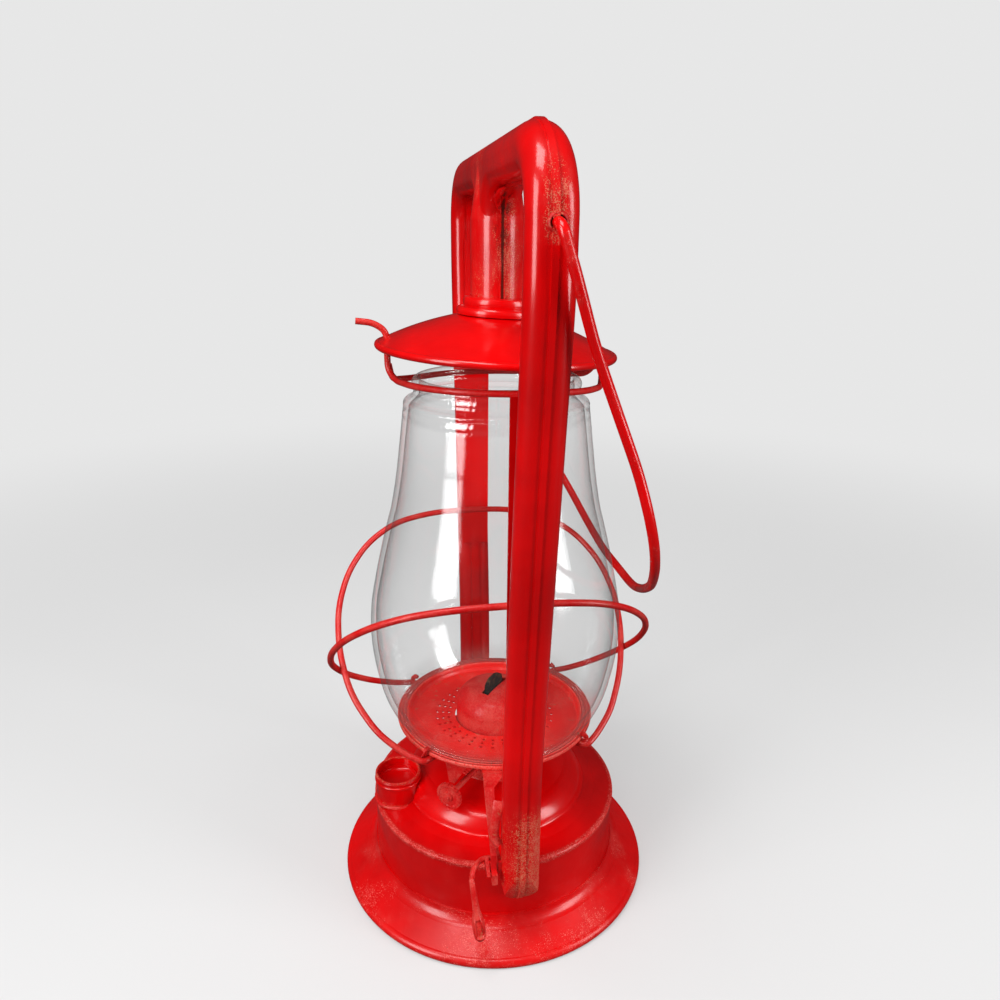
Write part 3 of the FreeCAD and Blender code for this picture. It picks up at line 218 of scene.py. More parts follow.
def makeWick():
    startPiece()
    bpy.ops.mesh.primitive_plane_add(size=1, location=(0, 0, wick["foot"]))
    editPart("FACE")
    bpy.ops.mesh.subdivide(number_cuts=wick["cuts"])
    bpy.ops.transform.resize(value=(wick["width"], wick["thick"], 1),
                             center_override=(0, 0, wick["foot"]))
    low = wick["foot"]
    half = wick["width"] / 2
    middle = 0
    for height, lean, share in wick["steps"]:
        nextHalf = wick["width"] / 2 * share
        along = half - nextHalf + lean
        middle = middle + along
        bpy.ops.mesh.extrude_region_move(TRANSFORM_OT_translate={"value": (along, 0, height - low)})
        bpy.ops.transform.resize(value=(nextHalf / half, 1, 1), center_override=(middle, 0, height))
        low = height
        half = nextHalf
    bpy.ops.transform.vertex_random(offset=wick["fray"], seed=5, normal=0)
    bpy.ops.mesh.select_all(action="SELECT")
    bpy.ops.transform.rotate(value=-wick["turn"], orient_axis="Z", center_override=(0, 0, 0))
    piece = endPiece("charredWick", "wick", 60)
    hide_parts("wick")
    return [piece]


# the guard wires' ends hook up round the edge of the globe plate
hook = {
    "ends": [(0.0315, 0.0365), (0.0315, -0.0365), (-0.0315, 0.0365), (-0.0315, -0.0365)],
    "wire": 0.00135,
    "path": [  # reach from the axis and height, from under the plate to on top of it
        (0.0470, 0.0838), (0.0495, 0.0838), (0.0510, 0.0847), (0.0516, 0.0862), (0.0510, 0.0876),
        (0.0500, 0.0887), (0.0482, 0.0888),
    ],
    "tip": 0.7,
}


def makeHooks():
    made = []
    for index, (x, y) in enumerate(hook["ends"], 1):
        out = Vector((x, y, 0)).normalized()
        spots = [out * reach + Vector((0, 0, height)) for reach, height in hook["path"]]
        radii = [hook["wire"]] * (len(spots) - 1) + [hook["wire"] * hook["tip"]]
        made.append(sweepBar(f"guardHook{index}", "carriage", spots, radii))
    return made


# raised burr round each hole of the bail, with painted shade inside
eye = {
    "y": 0.0006, "z": 0.3185, "face": 0.1017, "out": 0.1027, "rim": 0.0027, "bead": 0.00035,
    "inner": 0.00198, "foot": 0.0008,
    "shares": (0.7, 0.35, 0.3),  # of its rise: flank outside, lip and floor inside
}


def makeEyes():
    made = []
    for name, side in (("right", 1), ("left", -1)):
        rise = eye["out"] - eye["face"]
        flank, lip, floor = [rise * share for share in eye["shares"]]
        rings = [(eye["rim"] + eye["foot"], 0), (eye["rim"] + eye["foot"] / 2, flank)]
        rings += arcRings((eye["rim"], rise - eye["bead"]), eye["bead"], 30, 180, 6)
        rings += [(eye["rim"] - eye["bead"], lip), (eye["inner"], floor), (eye["inner"], 0)]
        rings.append(rings[0])
        spot = (side * eye["face"], eye["y"], eye["z"])
        made.append(turnRings("bailEye_" + name, "frame", spot, (side, 0, 0), rings, 32))
    return made


# curled strip that guides the globe plate along the near tube
guide = {
    "spots": [(0.0672, -0.0096, 0.0846), (0.0690, -0.0103, 0.0815), (0.0704, -0.0113, 0.0770),
              (0.0711, -0.0120, 0.0725), (0.0713, -0.0118, 0.0690), (0.0712, -0.0106, 0.0665),
              (0.0711, -0.0093, 0.0648)],
    "wide": 0.0042, "thin": 0.0009, "soft": 0.0002,
}


def makeGuide():
    spots = [Vector(spot) for spot in guide["spots"]]
    startPiece()
    aim = (spots[1] - spots[0]).normalized()
    bpy.ops.mesh.primitive_plane_add(size=1, location=spots[0],
                                     rotation=aim.to_track_quat("Z", "X").to_euler())
    piece = bpy.context.object
    piece.scale = (guide["thin"], guide["wide"], 1)
    bpy.ops.object.transform_apply(location=False, rotation=False, scale=True)
    editPart("FACE")
    for before, spot, after in zip(spots, spots[1:], spots[2:] + [spots[-1] * 2 - spots[-2]]):
        bpy.ops.mesh.extrude_region_move(TRANSFORM_OT_translate={"value": spot - before})
        turnSelected(aim, (after - before).normalized(), spot)
        aim = (after - before).normalized()
    bpy.ops.mesh.select_all(action="SELECT")
    bpy.ops.mesh.select_mode(type="EDGE")
    bpy.ops.mesh.bevel(offset=guide["soft"], segments=2)
    return [endPiece("guideStrip", "carriage", 35)]


# lapped tab where the crown's pressings meet beside the centre tube, one each side
lap = {
    "spots": [(0.0118, -0.0012, 0.3228), (0.0140, -0.0024, 0.3262), (0.0170, -0.0030, 0.3292),
              (0.0205, -0.0024, 0.3312), (0.0235, -0.0012, 0.3322)],
    "radii": [0.0005, 0.0011, 0.0014, 0.0012, 0.0005],
}


def makeLaps():
    made = []
    for name, side in (("right", 1), ("left", -1)):
        spots = [(x * side, y * side, z) for x, y, z in lap["spots"]]
        made.append(sweepBar("crownLap_" + name, "frame", spots, lap["radii"], 8, 25))
    return made


# beads of solder round the filler neck's foot and the burner collar
solder = {
    "filler": {"spot": (0.0061, -0.0500, 0.0452), "radius": 0.0112, "bead": 0.0009},
    "collar": {"spot": (0, 0, 0.0585), "radius": 0.0214, "bead": 0.0007},
}
solderRough = 0.25  # unevenness over the bead's radius


def makeSolder():
    made = []
    for name, place in solder.items():
        rings = arcRings((place["radius"], 0), place["bead"], 0, 360, 10)
        piece = turnRings("solder_" + name, "frame", place["spot"], (0, 0, 1), rings, 64)
        editPart("VERT")
        bpy.ops.transform.vertex_random(offset=place["bead"] * solderRough, seed=2, normal=0)
        bpy.ops.object.mode_set(mode="OBJECT")
        made.append(piece)
    return made


# thumb piece of the lift lever: narrow bar with a broad rounded end, an oval pressed into its face
thumb = {
    "top": Vector((0.0730, -0.0222, 0.0502)), "foot": Vector((0.0792, -0.0190, 0.0216)),
    "widths": [0.0008, 0.0012, 0.0013, 0.0014, 0.0017, 0.0023, 0.0027, 0.0028, 0.0028, 0.0025, 0.0018,
               0.0008],
    "shares": [0, 0.02, 0.20, 0.40, 0.52, 0.61, 0.68, 0.78, 0.88, 0.94, 0.98, 1.0],
    "oval": (0.64, 0.93), "spread": 0.62,
    "presses": [(0.0005, 0.0001), (0.0002, -0.0007)],  # width and depth of each inset
}


def makeThumb():
    run = thumb["foot"] - thumb["top"]
    spots = [thumb["top"] + run * share for share in thumb["shares"]]
    piece = sweepBar("thumbPiece", "lever", spots, thumb["widths"], 24, 50)
    low, high = thumb["oval"]
    editPart("FACE")
    bpy.ops.mesh.select_all(action="DESELECT")
    bpy.ops.object.mode_set(mode="OBJECT")
    for face in piece.data.polygons:
        share = (face.center - thumb["top"]).dot(run) / run.length_squared
        face.select = low < share < high and face.normal.x > thumb["spread"]
    editPart("FACE", every=False)
    for width, depth in thumb["presses"]:
        bpy.ops.mesh.inset(thickness=width, depth=depth)
    bpy.ops.object.mode_set(mode="OBJECT")
    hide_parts("thumb_piece")
    return [piece]


newPieces = {}
for key, maker in (("knob", makeKnob), ("wick", makeWick), ("hook", makeHooks), ("eye", makeEyes),
                   ("guide", makeGuide), ("lap", makeLaps), ("solder", makeSolder), ("thumb", makeThumb)):
    newPieces[key] = maker()
    print("made", key, len(newPieces[key]))


# shader tools: sums on a Value become Math nodes
class Value:
    def __init__(self, paint, socket):
        self.paint = paint
        self.socket = socket

    def maths(self, operation, *terms):
        return self.paint.node("Math", {"operation": operation}, dict(enumerate(terms)))

    def __add__(self, other):
        return self.maths("ADD", self, other)

    def __sub__(self, other):
        return self.maths("SUBTRACT", self, other)

    def __rsub__(self, other):
        return self.maths("SUBTRACT", other, self)

    def __mul__(self, other):
        return self.maths("MULTIPLY", self, other)

    def __pow__(self, other):
        return self.maths("POWER", self, other)

    __radd__ = __add__
    __rmul__ = __mul__

    def size(self):
        return self.maths("ABSOLUTE", self)

    def sine(self):
        return self.maths("SINE", self)

    def least(self, other):
        return self.maths("MINIMUM", self, other)

    def most(self, other):
        return self.maths("MAXIMUM", self, other)

    # 0 below low, 1 above high, smooth between
    def step(self, low, high):
        if low < high:
            return self.paint.node("MapRange", {"interpolation_type": "SMOOTHSTEP"},
                                   {"Value": self, "From Min": low, "From Max": high})
        return 1 - self.step(high, low)


class Paint:
    def __init__(self, name):
        self.material = bpy.data.materials.new(name)
        self.material.use_nodes = True
        self.tree = self.material.node_tree
        self.tree.nodes.clear()
        self.end = self.tree.nodes.new("ShaderNodeOutputMaterial")
        self.place = self.node("TexCoord", output="Object")
        self.x, self.y, self.z = [self.node("SeparateXYZ", inputs={"Vector": self.place}, output=axis)
                                  for axis in "XYZ"]
        self.around = (self.x * self.x + self.y * self.y) ** 0.5

    def node(self, kind, settings=None, inputs=None, output=0):
        item = self.tree.nodes.new("ShaderNode" + kind)
        for key, value in (settings or {}).items():
            setattr(item, key, value)
        for key, value in (inputs or {}).items():
            socket = item.inputs[key]
            if isinstance(value, Value):
                self.tree.links.new(value.socket, socket)
            elif isinstance(value, tuple) and len(value) == 3 and socket.type == "RGBA":
                socket.default_value = (*value, 1)
            else:
                socket.default_value = value
        return Value(self, item.outputs[output])

    def noise(self, scale, detail=3.0, rough=0.55, squeeze=(1, 1, 1), offset=0.0):
        spot = self.place
        if squeeze != (1, 1, 1) or offset:
            spot = self.node("Mapping", inputs={"Vector": spot, "Scale": squeeze,
                                                "Location": (offset,) * 3})
        return self.node("TexNoise", inputs={"Vector": spot, "Scale": scale, "Detail": detail,
                                             "Roughness": rough})

    # noise as a share, nothing below the low level and full above the high one
    def cloud(self, low, high, **look):
        return self.noise(**look).step(low, high)

    def mix(self, share, under, over):
        return self.node("Mix", {"data_type": "RGBA"}, {0: share, 6: under, 7: over}, output=2)

    def grey(self, level):
        return self.node("CombineColor", inputs={"Red": level, "Green": level, "Blue": level})

    def bump(self, height, distance, under=None):
        inputs = {"Height": height, "Distance": distance, "Strength": 1.0}
        if under is not None:
            inputs["Normal"] = under
        return self.node("Bump", inputs=inputs)

    def surface(self, inputs):
        return self.node("BsdfPrincipled", inputs=inputs)

    def done(self, shader):
        self.tree.links.new(shader.socket, self.end.inputs["Surface"])
        return self.material


# red overpaint, thick and glossy; each piece has its own grime, a share of its surface, which on the fount
# and the skirt also holds painted shade and painted highlight
redLook = {
    "bright": (0.78, 0.0, 0.0008), "deep": (0.50, 0.0, 0.0006), "rust": (0.10, 0.022, 0.008),
    "tan": (0.66, 0.20, 0.11), "pink": (0.85, 0.17, 0.14), "stain": (0.035, 0.006, 0.003),
    "patches": {"scale": 14, "detail": 4, "low": 0.35, "high": 0.7},
    "grain": {"scale": 2300, "detail": 2, "rough": 0.6},
    "clumps": {"scale": 400, "detail": 4, "rough": 0.7, "offset": 3.1},
    "haze": {"scale": 60, "detail": 6, "rough": 0.7, "offset": 4.4, "low": 0.40, "high": 0.72},
    "chips": {"scale": 700, "detail": 4, "rough": 0.75, "offset": 7.7, "low": 0.63, "high": 0.67},
    "smears": {"scale": 55, "detail": 5, "rough": 0.6, "offset": 1.3},
    "waves": {"scale": 38, "detail": 3, "rough": 0.5, "offset": 5.0},
    "peels": {"scale": 620, "detail": 3, "rough": 0.5},
    "wave": 0.0007, "peel": 0.00005, "grit": 0.00030,  # depths
    "share": {
        "grain": 0.7, "clumps": 0.3, "grimeAndLight": 0.14, "deep": 0.35, "speck": 0.75, "haze": 0.28, "chips": 0.7,
    },
    "speck": (0.64, 0.68), "speckGrime": (0.02, 0.5),
    "smearRough": (0.35, 0.75), "rough": (0.30, 0.15, 0.25),  # clean, added by smears, added by grime
    "smearCoat": (0.50, 0.75), "coat": (0.90, 0.45, 0.8),  # clean, less by smears, share lost to grime
}


def glossyRed(name, grimeAndLight, dust="pink", soft=0.16, stain=None):
    paint = Paint(name)
    share = redLook["share"]
    grimeAndLightLevel = grimeAndLight(paint)
    grain = paint.noise(**redLook["grain"])
    rises = grain * share["grain"] + paint.noise(**redLook["clumps"]) * share["clumps"]
    speck = (rises + grimeAndLightLevel * share["grimeAndLight"]).step(*redLook["speck"])
    colour = paint.mix(paint.cloud(**redLook["patches"]), redLook["bright"], redLook["deep"])
    # darker red where the mask is high: grime, and on the fount wall painted shade
    colour = paint.mix(grimeAndLightLevel * share["deep"], colour, redLook["deep"])
    # pink specks and pink haze where the mask is high: dust, and on the fount's crease and dome foot and on
    # the skirt's foot also painted highlight
    speck = (speck * grimeAndLightLevel.step(*redLook["speckGrime"])).least(share["speck"])
    colour = paint.mix(speck, colour, redLook[dust])
    colour = paint.mix(paint.cloud(**redLook["haze"]) * grimeAndLightLevel * share["haze"], colour, redLook["pink"])
    colour = paint.mix(paint.cloud(**redLook["chips"]) * grimeAndLightLevel * share["chips"], colour, redLook["rust"])
    if stain:
        colour = paint.mix(stain(paint), colour, redLook["stain"])
    smears = paint.noise(**redLook["smears"])
    clean, smeared, dirty = redLook["rough"]
    rough = smears.step(*redLook["smearRough"]) * smeared + grimeAndLightLevel * dirty + clean
    normal = paint.bump(paint.noise(**redLook["waves"]), redLook["wave"])
    normal = paint.bump(paint.noise(**redLook["peels"]), redLook["peel"], normal)
    normal = paint.bump(grain * grimeAndLightLevel, redLook["grit"], normal)
    clean, dulled, lost = redLook["coat"]
    coat = (1 - grimeAndLightLevel * lost) * (clean - smears.step(*redLook["smearCoat"]) * dulled)
    shader = paint.surface({"Base Color": colour, "Roughness": rough, "Normal": normal, "IOR": 1.45,
                            "Coat Weight": coat, "Coat Roughness": soft, "Coat IOR": 1.5,
                            "Specular IOR Level": 0.12})
    return paint.done(shader)


# grime, with painted shade and painted highlight on the fount and the skirt: pairs say where it starts and
# where it is full, in m; shares say how much of it there is
# skirt: rust and dust along the rolled rim; pink dust blotches low on the skirt, which are also painted
# sheen for its soft highlight
baseDirtAndSheen = {
    "rim": (0.0045, 0.001), "rimShare": 0.8, "foot": (0.030, 0.012), "footDustAndSheenShare": 0.62,
    "blotch": {"scale": 34, "detail": 5, "rough": 0.6, "offset": 2.0, "low": 0.42, "high": 0.66},
}


def baseGrimeAndSheen(paint):
    rim = paint.z.step(*baseDirtAndSheen["rim"]) * baseDirtAndSheen["rimShare"]
    # low on the skirt: pink dust blotches that are also painted sheen
    foot = paint.z.step(*baseDirtAndSheen["foot"]) * paint.cloud(**baseDirtAndSheen["blotch"]) * baseDirtAndSheen["footDustAndSheenShare"]
    return rim.most(foot).least(1.0)


# fount: the wall is painted darker as painted shade, with sparse pink specks; pink specks and haze on the
# crease ridge and round the foot of the dome are painted highlight as well as dust; loose blotches of dust
# all over
fountDirtShadeAndSheen = {
    "wallReach": (0.0560, 0.0608), "wallTop": (0.0425, 0.0405), "wallShare": 0.08,
    "creaseReach": (0.0590, 0.0605), "creaseFoot": (0.0400, 0.0420), "creaseShare": 0.8,
    "domeInner": (0.0440, 0.0462), "domeOuter": (0.0490, 0.0470), "domeShare": 0.5,
    "blotch": {"scale": 30, "detail": 4, "offset": 4.0, "low": 0.55, "high": 0.75}, "blotchShare": 0.2,
}


def fountGrimeShadeAndSheen(paint):
    # wall: painted shade; crease and dome foot: painted highlight with dust
    wall = paint.around.step(*fountDirtShadeAndSheen["wallReach"]) * paint.z.step(*fountDirtShadeAndSheen["wallTop"])
    crease = paint.z.step(*fountDirtShadeAndSheen["creaseFoot"]) * paint.around.step(*fountDirtShadeAndSheen["creaseReach"])
    dome = paint.around.step(*fountDirtShadeAndSheen["domeInner"]) * paint.around.step(*fountDirtShadeAndSheen["domeOuter"])
    blotch = paint.cloud(**fountDirtShadeAndSheen["blotch"])
    ledges = wall * fountDirtShadeAndSheen["wallShare"] + crease * fountDirtShadeAndSheen["creaseShare"]
    return (ledges + dome * fountDirtShadeAndSheen["domeShare"] * blotch + blotch * fountDirtShadeAndSheen["blotchShare"]).least(1.0)


tubeDirt = {
    "low": (0.092, 0.070), "lowShare": 1.25, "side": (-0.006, 0.000), "sideShare": 0.65, "other": 0.35,
    "blotch": {"scale": 18, "detail": 3, "offset": 6.0, "low": 0.70, "high": 0.82}, "blotchShare": 0.15,
}


def tubeGrime(paint):
    low = paint.z.step(*tubeDirt["low"]) * tubeDirt["lowShare"]
    side = paint.y.step(*tubeDirt["side"]) * tubeDirt["sideShare"] + tubeDirt["other"]
    return (low * side + paint.cloud(**tubeDirt["blotch"]) * tubeDirt["blotchShare"]).least(1.0)


crownDirt = {
    "edge": (0.0078, 0.0020), "out": (0.088, 0.096), "column": (0.016, 0.011),
    "bandLow": (0.294, 0.312), "bandHigh": (0.344, 0.326),
    "streak": {"scale": 90, "detail": 5, "rough": 0.65, "squeeze": (1, 1, 0.3), "offset": 2.5,
               "low": 0.38, "high": 0.58},
    "bandShare": 1.1, "columnShare": 0.40, "seamShare": 0.6,
}


def crownGrime(paint):
    edge = paint.y.size().step(*crownDirt["edge"])
    out = paint.x.size().step(*crownDirt["out"])
    column = paint.x.size().step(*crownDirt["column"])
    band = paint.z.step(*crownDirt["bandLow"]) * paint.z.step(*crownDirt["bandHigh"])
    streak = paint.cloud(**crownDirt["streak"])
    rib = edge * out * band * streak * crownDirt["bandShare"]
    seam = edge * column * streak * crownDirt["seamShare"]
    return (rib + column * streak * crownDirt["columnShare"] + seam).least(1.0)


# dirt in the seam of the centre tube
seamDirt = {
    "column": (0.019, 0.016), "line": (0.0010, 0.0002), "fan": (0.0050, 0.0010), "rise": (0.300, 0.322),
    "breaks": {"scale": 160, "detail": 4, "rough": 0.6, "squeeze": (1, 1, 0.3), "offset": 1.0,
               "low": 0.30, "high": 0.50},
    "flecks": {"scale": 300, "detail": 5, "rough": 0.7, "offset": 6.0, "low": 0.48, "high": 0.60},
    "fleckShare": 0.7,
}


def crownStain(paint):
    across = paint.y.size()
    line = across.step(*seamDirt["line"]) * paint.cloud(**seamDirt["breaks"])
    fan = across.step(*seamDirt["fan"]) * paint.z.step(*seamDirt["rise"])
    fan = fan * paint.cloud(**seamDirt["flecks"]) * seamDirt["fleckShare"]
    return (paint.x.size().step(*seamDirt["column"]) * (line + fan)).least(0.9)


bailDirt = {"scale": 110, "detail": 5, "rough": 0.65, "offset": 8.0, "low": 0.50, "high": 0.72}
hoodDirt = {"scale": 24, "detail": 4, "offset": 9.0, "low": 0.64, "high": 0.8}
neckDirt = {
    "lip": (0.0580, 0.0592), "foot": (0.0475, 0.0455), "share": 0.7,
    "blotch": {"scale": 120, "detail": 4, "offset": 1.0, "low": 0.5, "high": 0.7}, "blotchShare": 0.35,
}


def bailGrime(paint):
    return paint.cloud(**bailDirt) * 0.7


def hoodGrime(paint):
    return paint.cloud(**hoodDirt) * 0.3


def neckGrime(paint):
    rims = paint.z.step(*neckDirt["lip"]) + paint.z.step(*neckDirt["foot"])
    blotch = paint.cloud(**neckDirt["blotch"]) * neckDirt["blotchShare"]
    return (rims * neckDirt["share"] + blotch).least(1.0)


# older, rougher paint on the wires and the lift gear
dullLook = {
    "red": (0.62, 0.003, 0.004), "pink": (0.72, 0.10, 0.075), "tan": (0.42, 0.17, 0.085),
    "grain": {"scale": 1300, "detail": 3, "rough": 0.65}, "grit": 0.00028,
    "blotch": {"scale": 95, "detail": 5, "rough": 0.6, "offset": 1.0}, "dusty": (0.42, 0.62),
    "worn": {"scale": 240, "detail": 6, "rough": 0.7, "offset": 5.0, "low": 0.60, "high": 0.70},
    "dents": {"scale": 180, "detail": 3, "offset": 3.0}, "dent": 0.0004,
    "rough": 0.62, "blotchRough": 0.3,
}


def dullRed(name, pinkShare, gloss):
    paint = Paint(name)
    grain = paint.noise(**dullLook["grain"])
    blotch = paint.noise(**dullLook["blotch"])
    dusty = (blotch * 0.6 + grain * 0.4).step(*dullLook["dusty"]) * pinkShare
    colour = paint.mix(dusty, dullLook["red"], dullLook["pink"])
    worn = paint.cloud(**dullLook["worn"]) * (0.25 + pinkShare * 0.5)
    colour = paint.mix(worn, colour, dullLook["tan"])
    rough = blotch * dullLook["blotchRough"] + (dullLook["rough"] - gloss)
    normal = paint.bump(grain, dullLook["grit"])
    normal = paint.bump(paint.noise(**dullLook["dents"]), dullLook["dent"], normal)
    shader = paint.surface({"Base Color": colour, "Roughness": rough, "Normal": normal, "IOR": 1.45,
                            "Coat Weight": gloss, "Coat Roughness": 0.18, "Specular IOR Level": 0.25})
    return paint.done(shader)


# globe plate: floor a lighter red than the other paint, partly its own paint and partly painted light
# making up for the light the hood keeps off it; fine ridges pressed round the flange, pink and duller along
# their crests
plateLook = {
    # a lighter red than the other paint: the plate's own paint, and painted light for the floor inside the
    # globe
    "red": (0.86, 0.012, 0.009), "pink": (0.90, 0.17, 0.13), "flange": (0.0425, 0.0440),
    "ridge": 0.0016, "ridgeDeep": 0.0003, "grain": (0.36, 0.60), "grit": 0.7,
    "cloudy": {"scale": 80, "detail": 5, "offset": 1.0, "low": 0.45, "high": 0.7}, "cloudShare": 0.35,
    "worn": {"scale": 260, "detail": 6, "rough": 0.7, "offset": 5.0, "low": 0.60, "high": 0.68},
    "ridgeShare": 0.75, "wornShare": 0.6, "rough": 0.38, "dustRough": 0.25, "coat": 0.4,
}


def platePaint():
    paint = Paint("plateRed")
    grain = paint.noise(**dullLook["grain"])
    ridges = (paint.around * (2 * math.pi / plateLook["ridge"])).sine()
    flange = paint.around.step(*plateLook["flange"])
    dusty = flange * (ridges * 0.5 + 0.5) * plateLook["ridgeShare"]
    dusty = (dusty + paint.cloud(**plateLook["cloudy"]) * plateLook["cloudShare"]).least(1.0)
    colour = paint.mix(dusty * grain.step(*plateLook["grain"]), plateLook["red"], plateLook["pink"])
    colour = paint.mix(paint.cloud(**plateLook["worn"]) * plateLook["wornShare"], colour, dullLook["tan"])
    rough = dusty * plateLook["dustRough"] + plateLook["rough"]
    normal = paint.bump(ridges * flange, plateLook["ridgeDeep"])
    normal = paint.bump(grain, dullLook["grit"] * plateLook["grit"], normal)
    shader = paint.surface({"Base Color": colour, "Roughness": rough, "Normal": normal,
                            "Coat Weight": (1 - dusty) * plateLook["coat"], "Coat Roughness": 0.15,
                            "Specular IOR Level": 0.35})
    return paint.done(shader)


# burr of the bail's hole, black inside as painted shade
burrLook = {
    "hollow": (0.006, 0.003, 0.002), "hollowEdge": (0.5, 1.1),  # of the bead, in from the rim
    "rust": {"scale": 500, "detail": 4, "low": 0.50, "high": 0.70}, "rustShare": 0.7,
    "grain": {"scale": 900, "detail": 3}, "grit": 0.0002,
}


def burrPaint():
    paint = Paint("burrRed")
    across = paint.y - eye["y"]
    up = paint.z - eye["z"]
    reach = (across * across + up * up) ** 0.5
    rust = paint.cloud(**burrLook["rust"]) * burrLook["rustShare"]
    colour = paint.mix(rust, redLook["deep"], redLook["tan"])
    start, full = [eye["rim"] - eye["bead"] * share for share in burrLook["hollowEdge"]]
    # black painted shade inside the hole
    colour = paint.mix(reach.step(start, full), colour, burrLook["hollow"])
    normal = paint.bump(paint.noise(**burrLook["grain"]), burrLook["grit"])
    return paint.done(paint.surface({"Base Color": colour, "Roughness": 0.45, "Normal": normal}))


sootyLook = {
    "dark": (0.20, 0.12, 0.06), "light": (0.42, 0.27, 0.14), "edges": (0.35, 0.65),
    "blotch": {"scale": 160, "detail": 5, "rough": 0.6}, "rough": 0.3, "blotchRough": 0.4,
    "grain": {"scale": 900, "detail": 3}, "grit": 0.0001,
}


def sootyMetal():
    paint = Paint("sootyBrass")
    blotch = paint.noise(**sootyLook["blotch"])
    colour = paint.mix(blotch.step(*sootyLook["edges"]), sootyLook["dark"], sootyLook["light"])
    rough = blotch * sootyLook["blotchRough"] + sootyLook["rough"]
    normal = paint.bump(paint.noise(**sootyLook["grain"]), sootyLook["grit"])
    return paint.done(paint.surface({"Base Color": colour, "Roughness": rough, "Metallic": 0.85,
                                     "Normal": normal}))


# clear glass: see-through but for its gloss, stronger to the edges, with a dusty lip and small seeds
glassLook = {
    "tint": (0.94, 0.95, 0.95), "dust": (0.60, 0.57, 0.52), "rough": 0.09, "dustRough": 0.8,
    "clear": 0.035, "edge": 0.55,
    "neck": (0.2375, 0.2390, 0.2520, 0.2535),  # where the pressed rings start, are full, fade, end
    "ring": 0.0042, "ringDeep": 0.00025, "dots": 90, "dotShare": 0.12,
    "waves": {"scale": 20, "detail": 2, "rough": 0.4}, "wave": 0.0014,
    "smear": {"scale": 26, "detail": 5, "rough": 0.6, "squeeze": (1, 1, 0.35), "offset": 2.0,
              "low": 0.45, "high": 0.85},
    "seeds": {"scale": 900, "detail": 2, "offset": 4.0, "low": 0.72, "high": 0.77}, "seedShare": 0.25,
    "lipLow": (0.098, 0.088), "lowShare": 0.10, "lipHigh": (0.2530, 0.2560), "highShare": 0.30,
}


def globeGlass():
    paint = Paint("globeGlass")
    turn = paint.node("Math", {"operation": "ARCTAN2"}, {0: paint.y, 1: paint.x})
    rings = (paint.z * (2 * math.pi / glassLook["ring"])).sine()
    neckLow, neckFull, neckFade, neckHigh = glassLook["neck"]
    neck = paint.z.step(neckLow, neckFull) * paint.z.step(neckHigh, neckFade)
    dots = (turn * glassLook["dots"]).sine()
    normal = paint.bump(rings * neck + dots * neck * glassLook["dotShare"], glassLook["ringDeep"])
    normal = paint.bump(paint.noise(**glassLook["waves"]), glassLook["wave"], normal)
    facing = paint.node("LayerWeight", inputs={"Blend": 0.5, "Normal": normal}, output="Facing")
    smear = paint.cloud(**glassLook["smear"])
    lip = paint.z.step(*glassLook["lipLow"]) * glassLook["lowShare"]
    lip = lip + paint.z.step(*glassLook["lipHigh"]) * glassLook["highShare"]
    seeds = paint.cloud(**glassLook["seeds"]) * glassLook["seedShare"]
    gleam = facing ** 4 * glassLook["edge"] + glassLook["clear"]
    alpha = (gleam + smear * 0.03 + lip + neck * 0.05 + seeds).least(0.9)
    gloss = paint.surface({"Base Color": glassLook["tint"], "Metallic": 1.0, "Normal": normal,
                           "Roughness": glassLook["rough"], "Alpha": alpha})
    dust = paint.surface({"Base Color": glassLook["dust"], "Roughness": glassLook["dustRough"],
                          "Alpha": alpha})
    dusty = (smear * 0.25 + lip * 2 + seeds * 3).least(0.8)
    return paint.done(paint.node("MixShader", inputs={0: dusty, 1: gloss, 2: dust}))


wickLook = {
    "cotton": (0.45, 0.38, 0.28), "char": (0.010, 0.006, 0.004), "ash": (0.10, 0.045, 0.018),
    "burnt": (0.086, 0.096), "weave": 5200, "weaveShare": 0.5, "deep": 0.0005,
    "flakes": {"scale": 520, "detail": 5, "low": 0.52, "high": 0.66}, "flakeShare": 0.8,
    "fluff": {"scale": 1400, "detail": 4},
}


def charredWick():
    paint = Paint("charredWick")
    weave = (paint.z * wickLook["weave"]).sine() * 0.5 + 0.5
    colour = paint.mix(paint.z.step(*wickLook["burnt"]), wickLook["cotton"], wickLook["char"])
    flakes = paint.cloud(**wickLook["flakes"]) * wickLook["flakeShare"]
    colour = paint.mix(flakes, colour, wickLook["ash"])
    height = weave * wickLook["weaveShare"] + paint.noise(**wickLook["fluff"])
    normal = paint.bump(height, wickLook["deep"])
    return paint.done(paint.surface({"Base Color": colour, "Roughness": 0.95, "Normal": normal}))


finish = {
    "base_skirt": glossyRed("baseRed", baseGrimeAndSheen, soft=0.24),
    "fount_body": glossyRed("fountRed", fountGrimeShadeAndSheen, soft=0.20),
    "tube": glossyRed("tubeRed", tubeGrime, "tan"),
    "crown": glossyRed("crownRed", crownGrime, "tan", stain=crownStain),
    "hood": glossyRed("hoodRed", hoodGrime),
    "plate": platePaint(),
    "burner": dullRed("burnerRed", 0.5, 0.2),
    "burr": burrPaint(),
    "wire": dullRed("wireRed", 0.40, 0.40),
    "bail": glossyRed("bailRed", bailGrime, soft=0.20),
    "lift": dullRed("liftRed", 0.6, 0.3),
    "neck": glossyRed("neckRed", neckGrime, "tan"),
    "brass": sootyMetal(),
    "globe": globeGlass(),
    "wick": charredWick(),
}
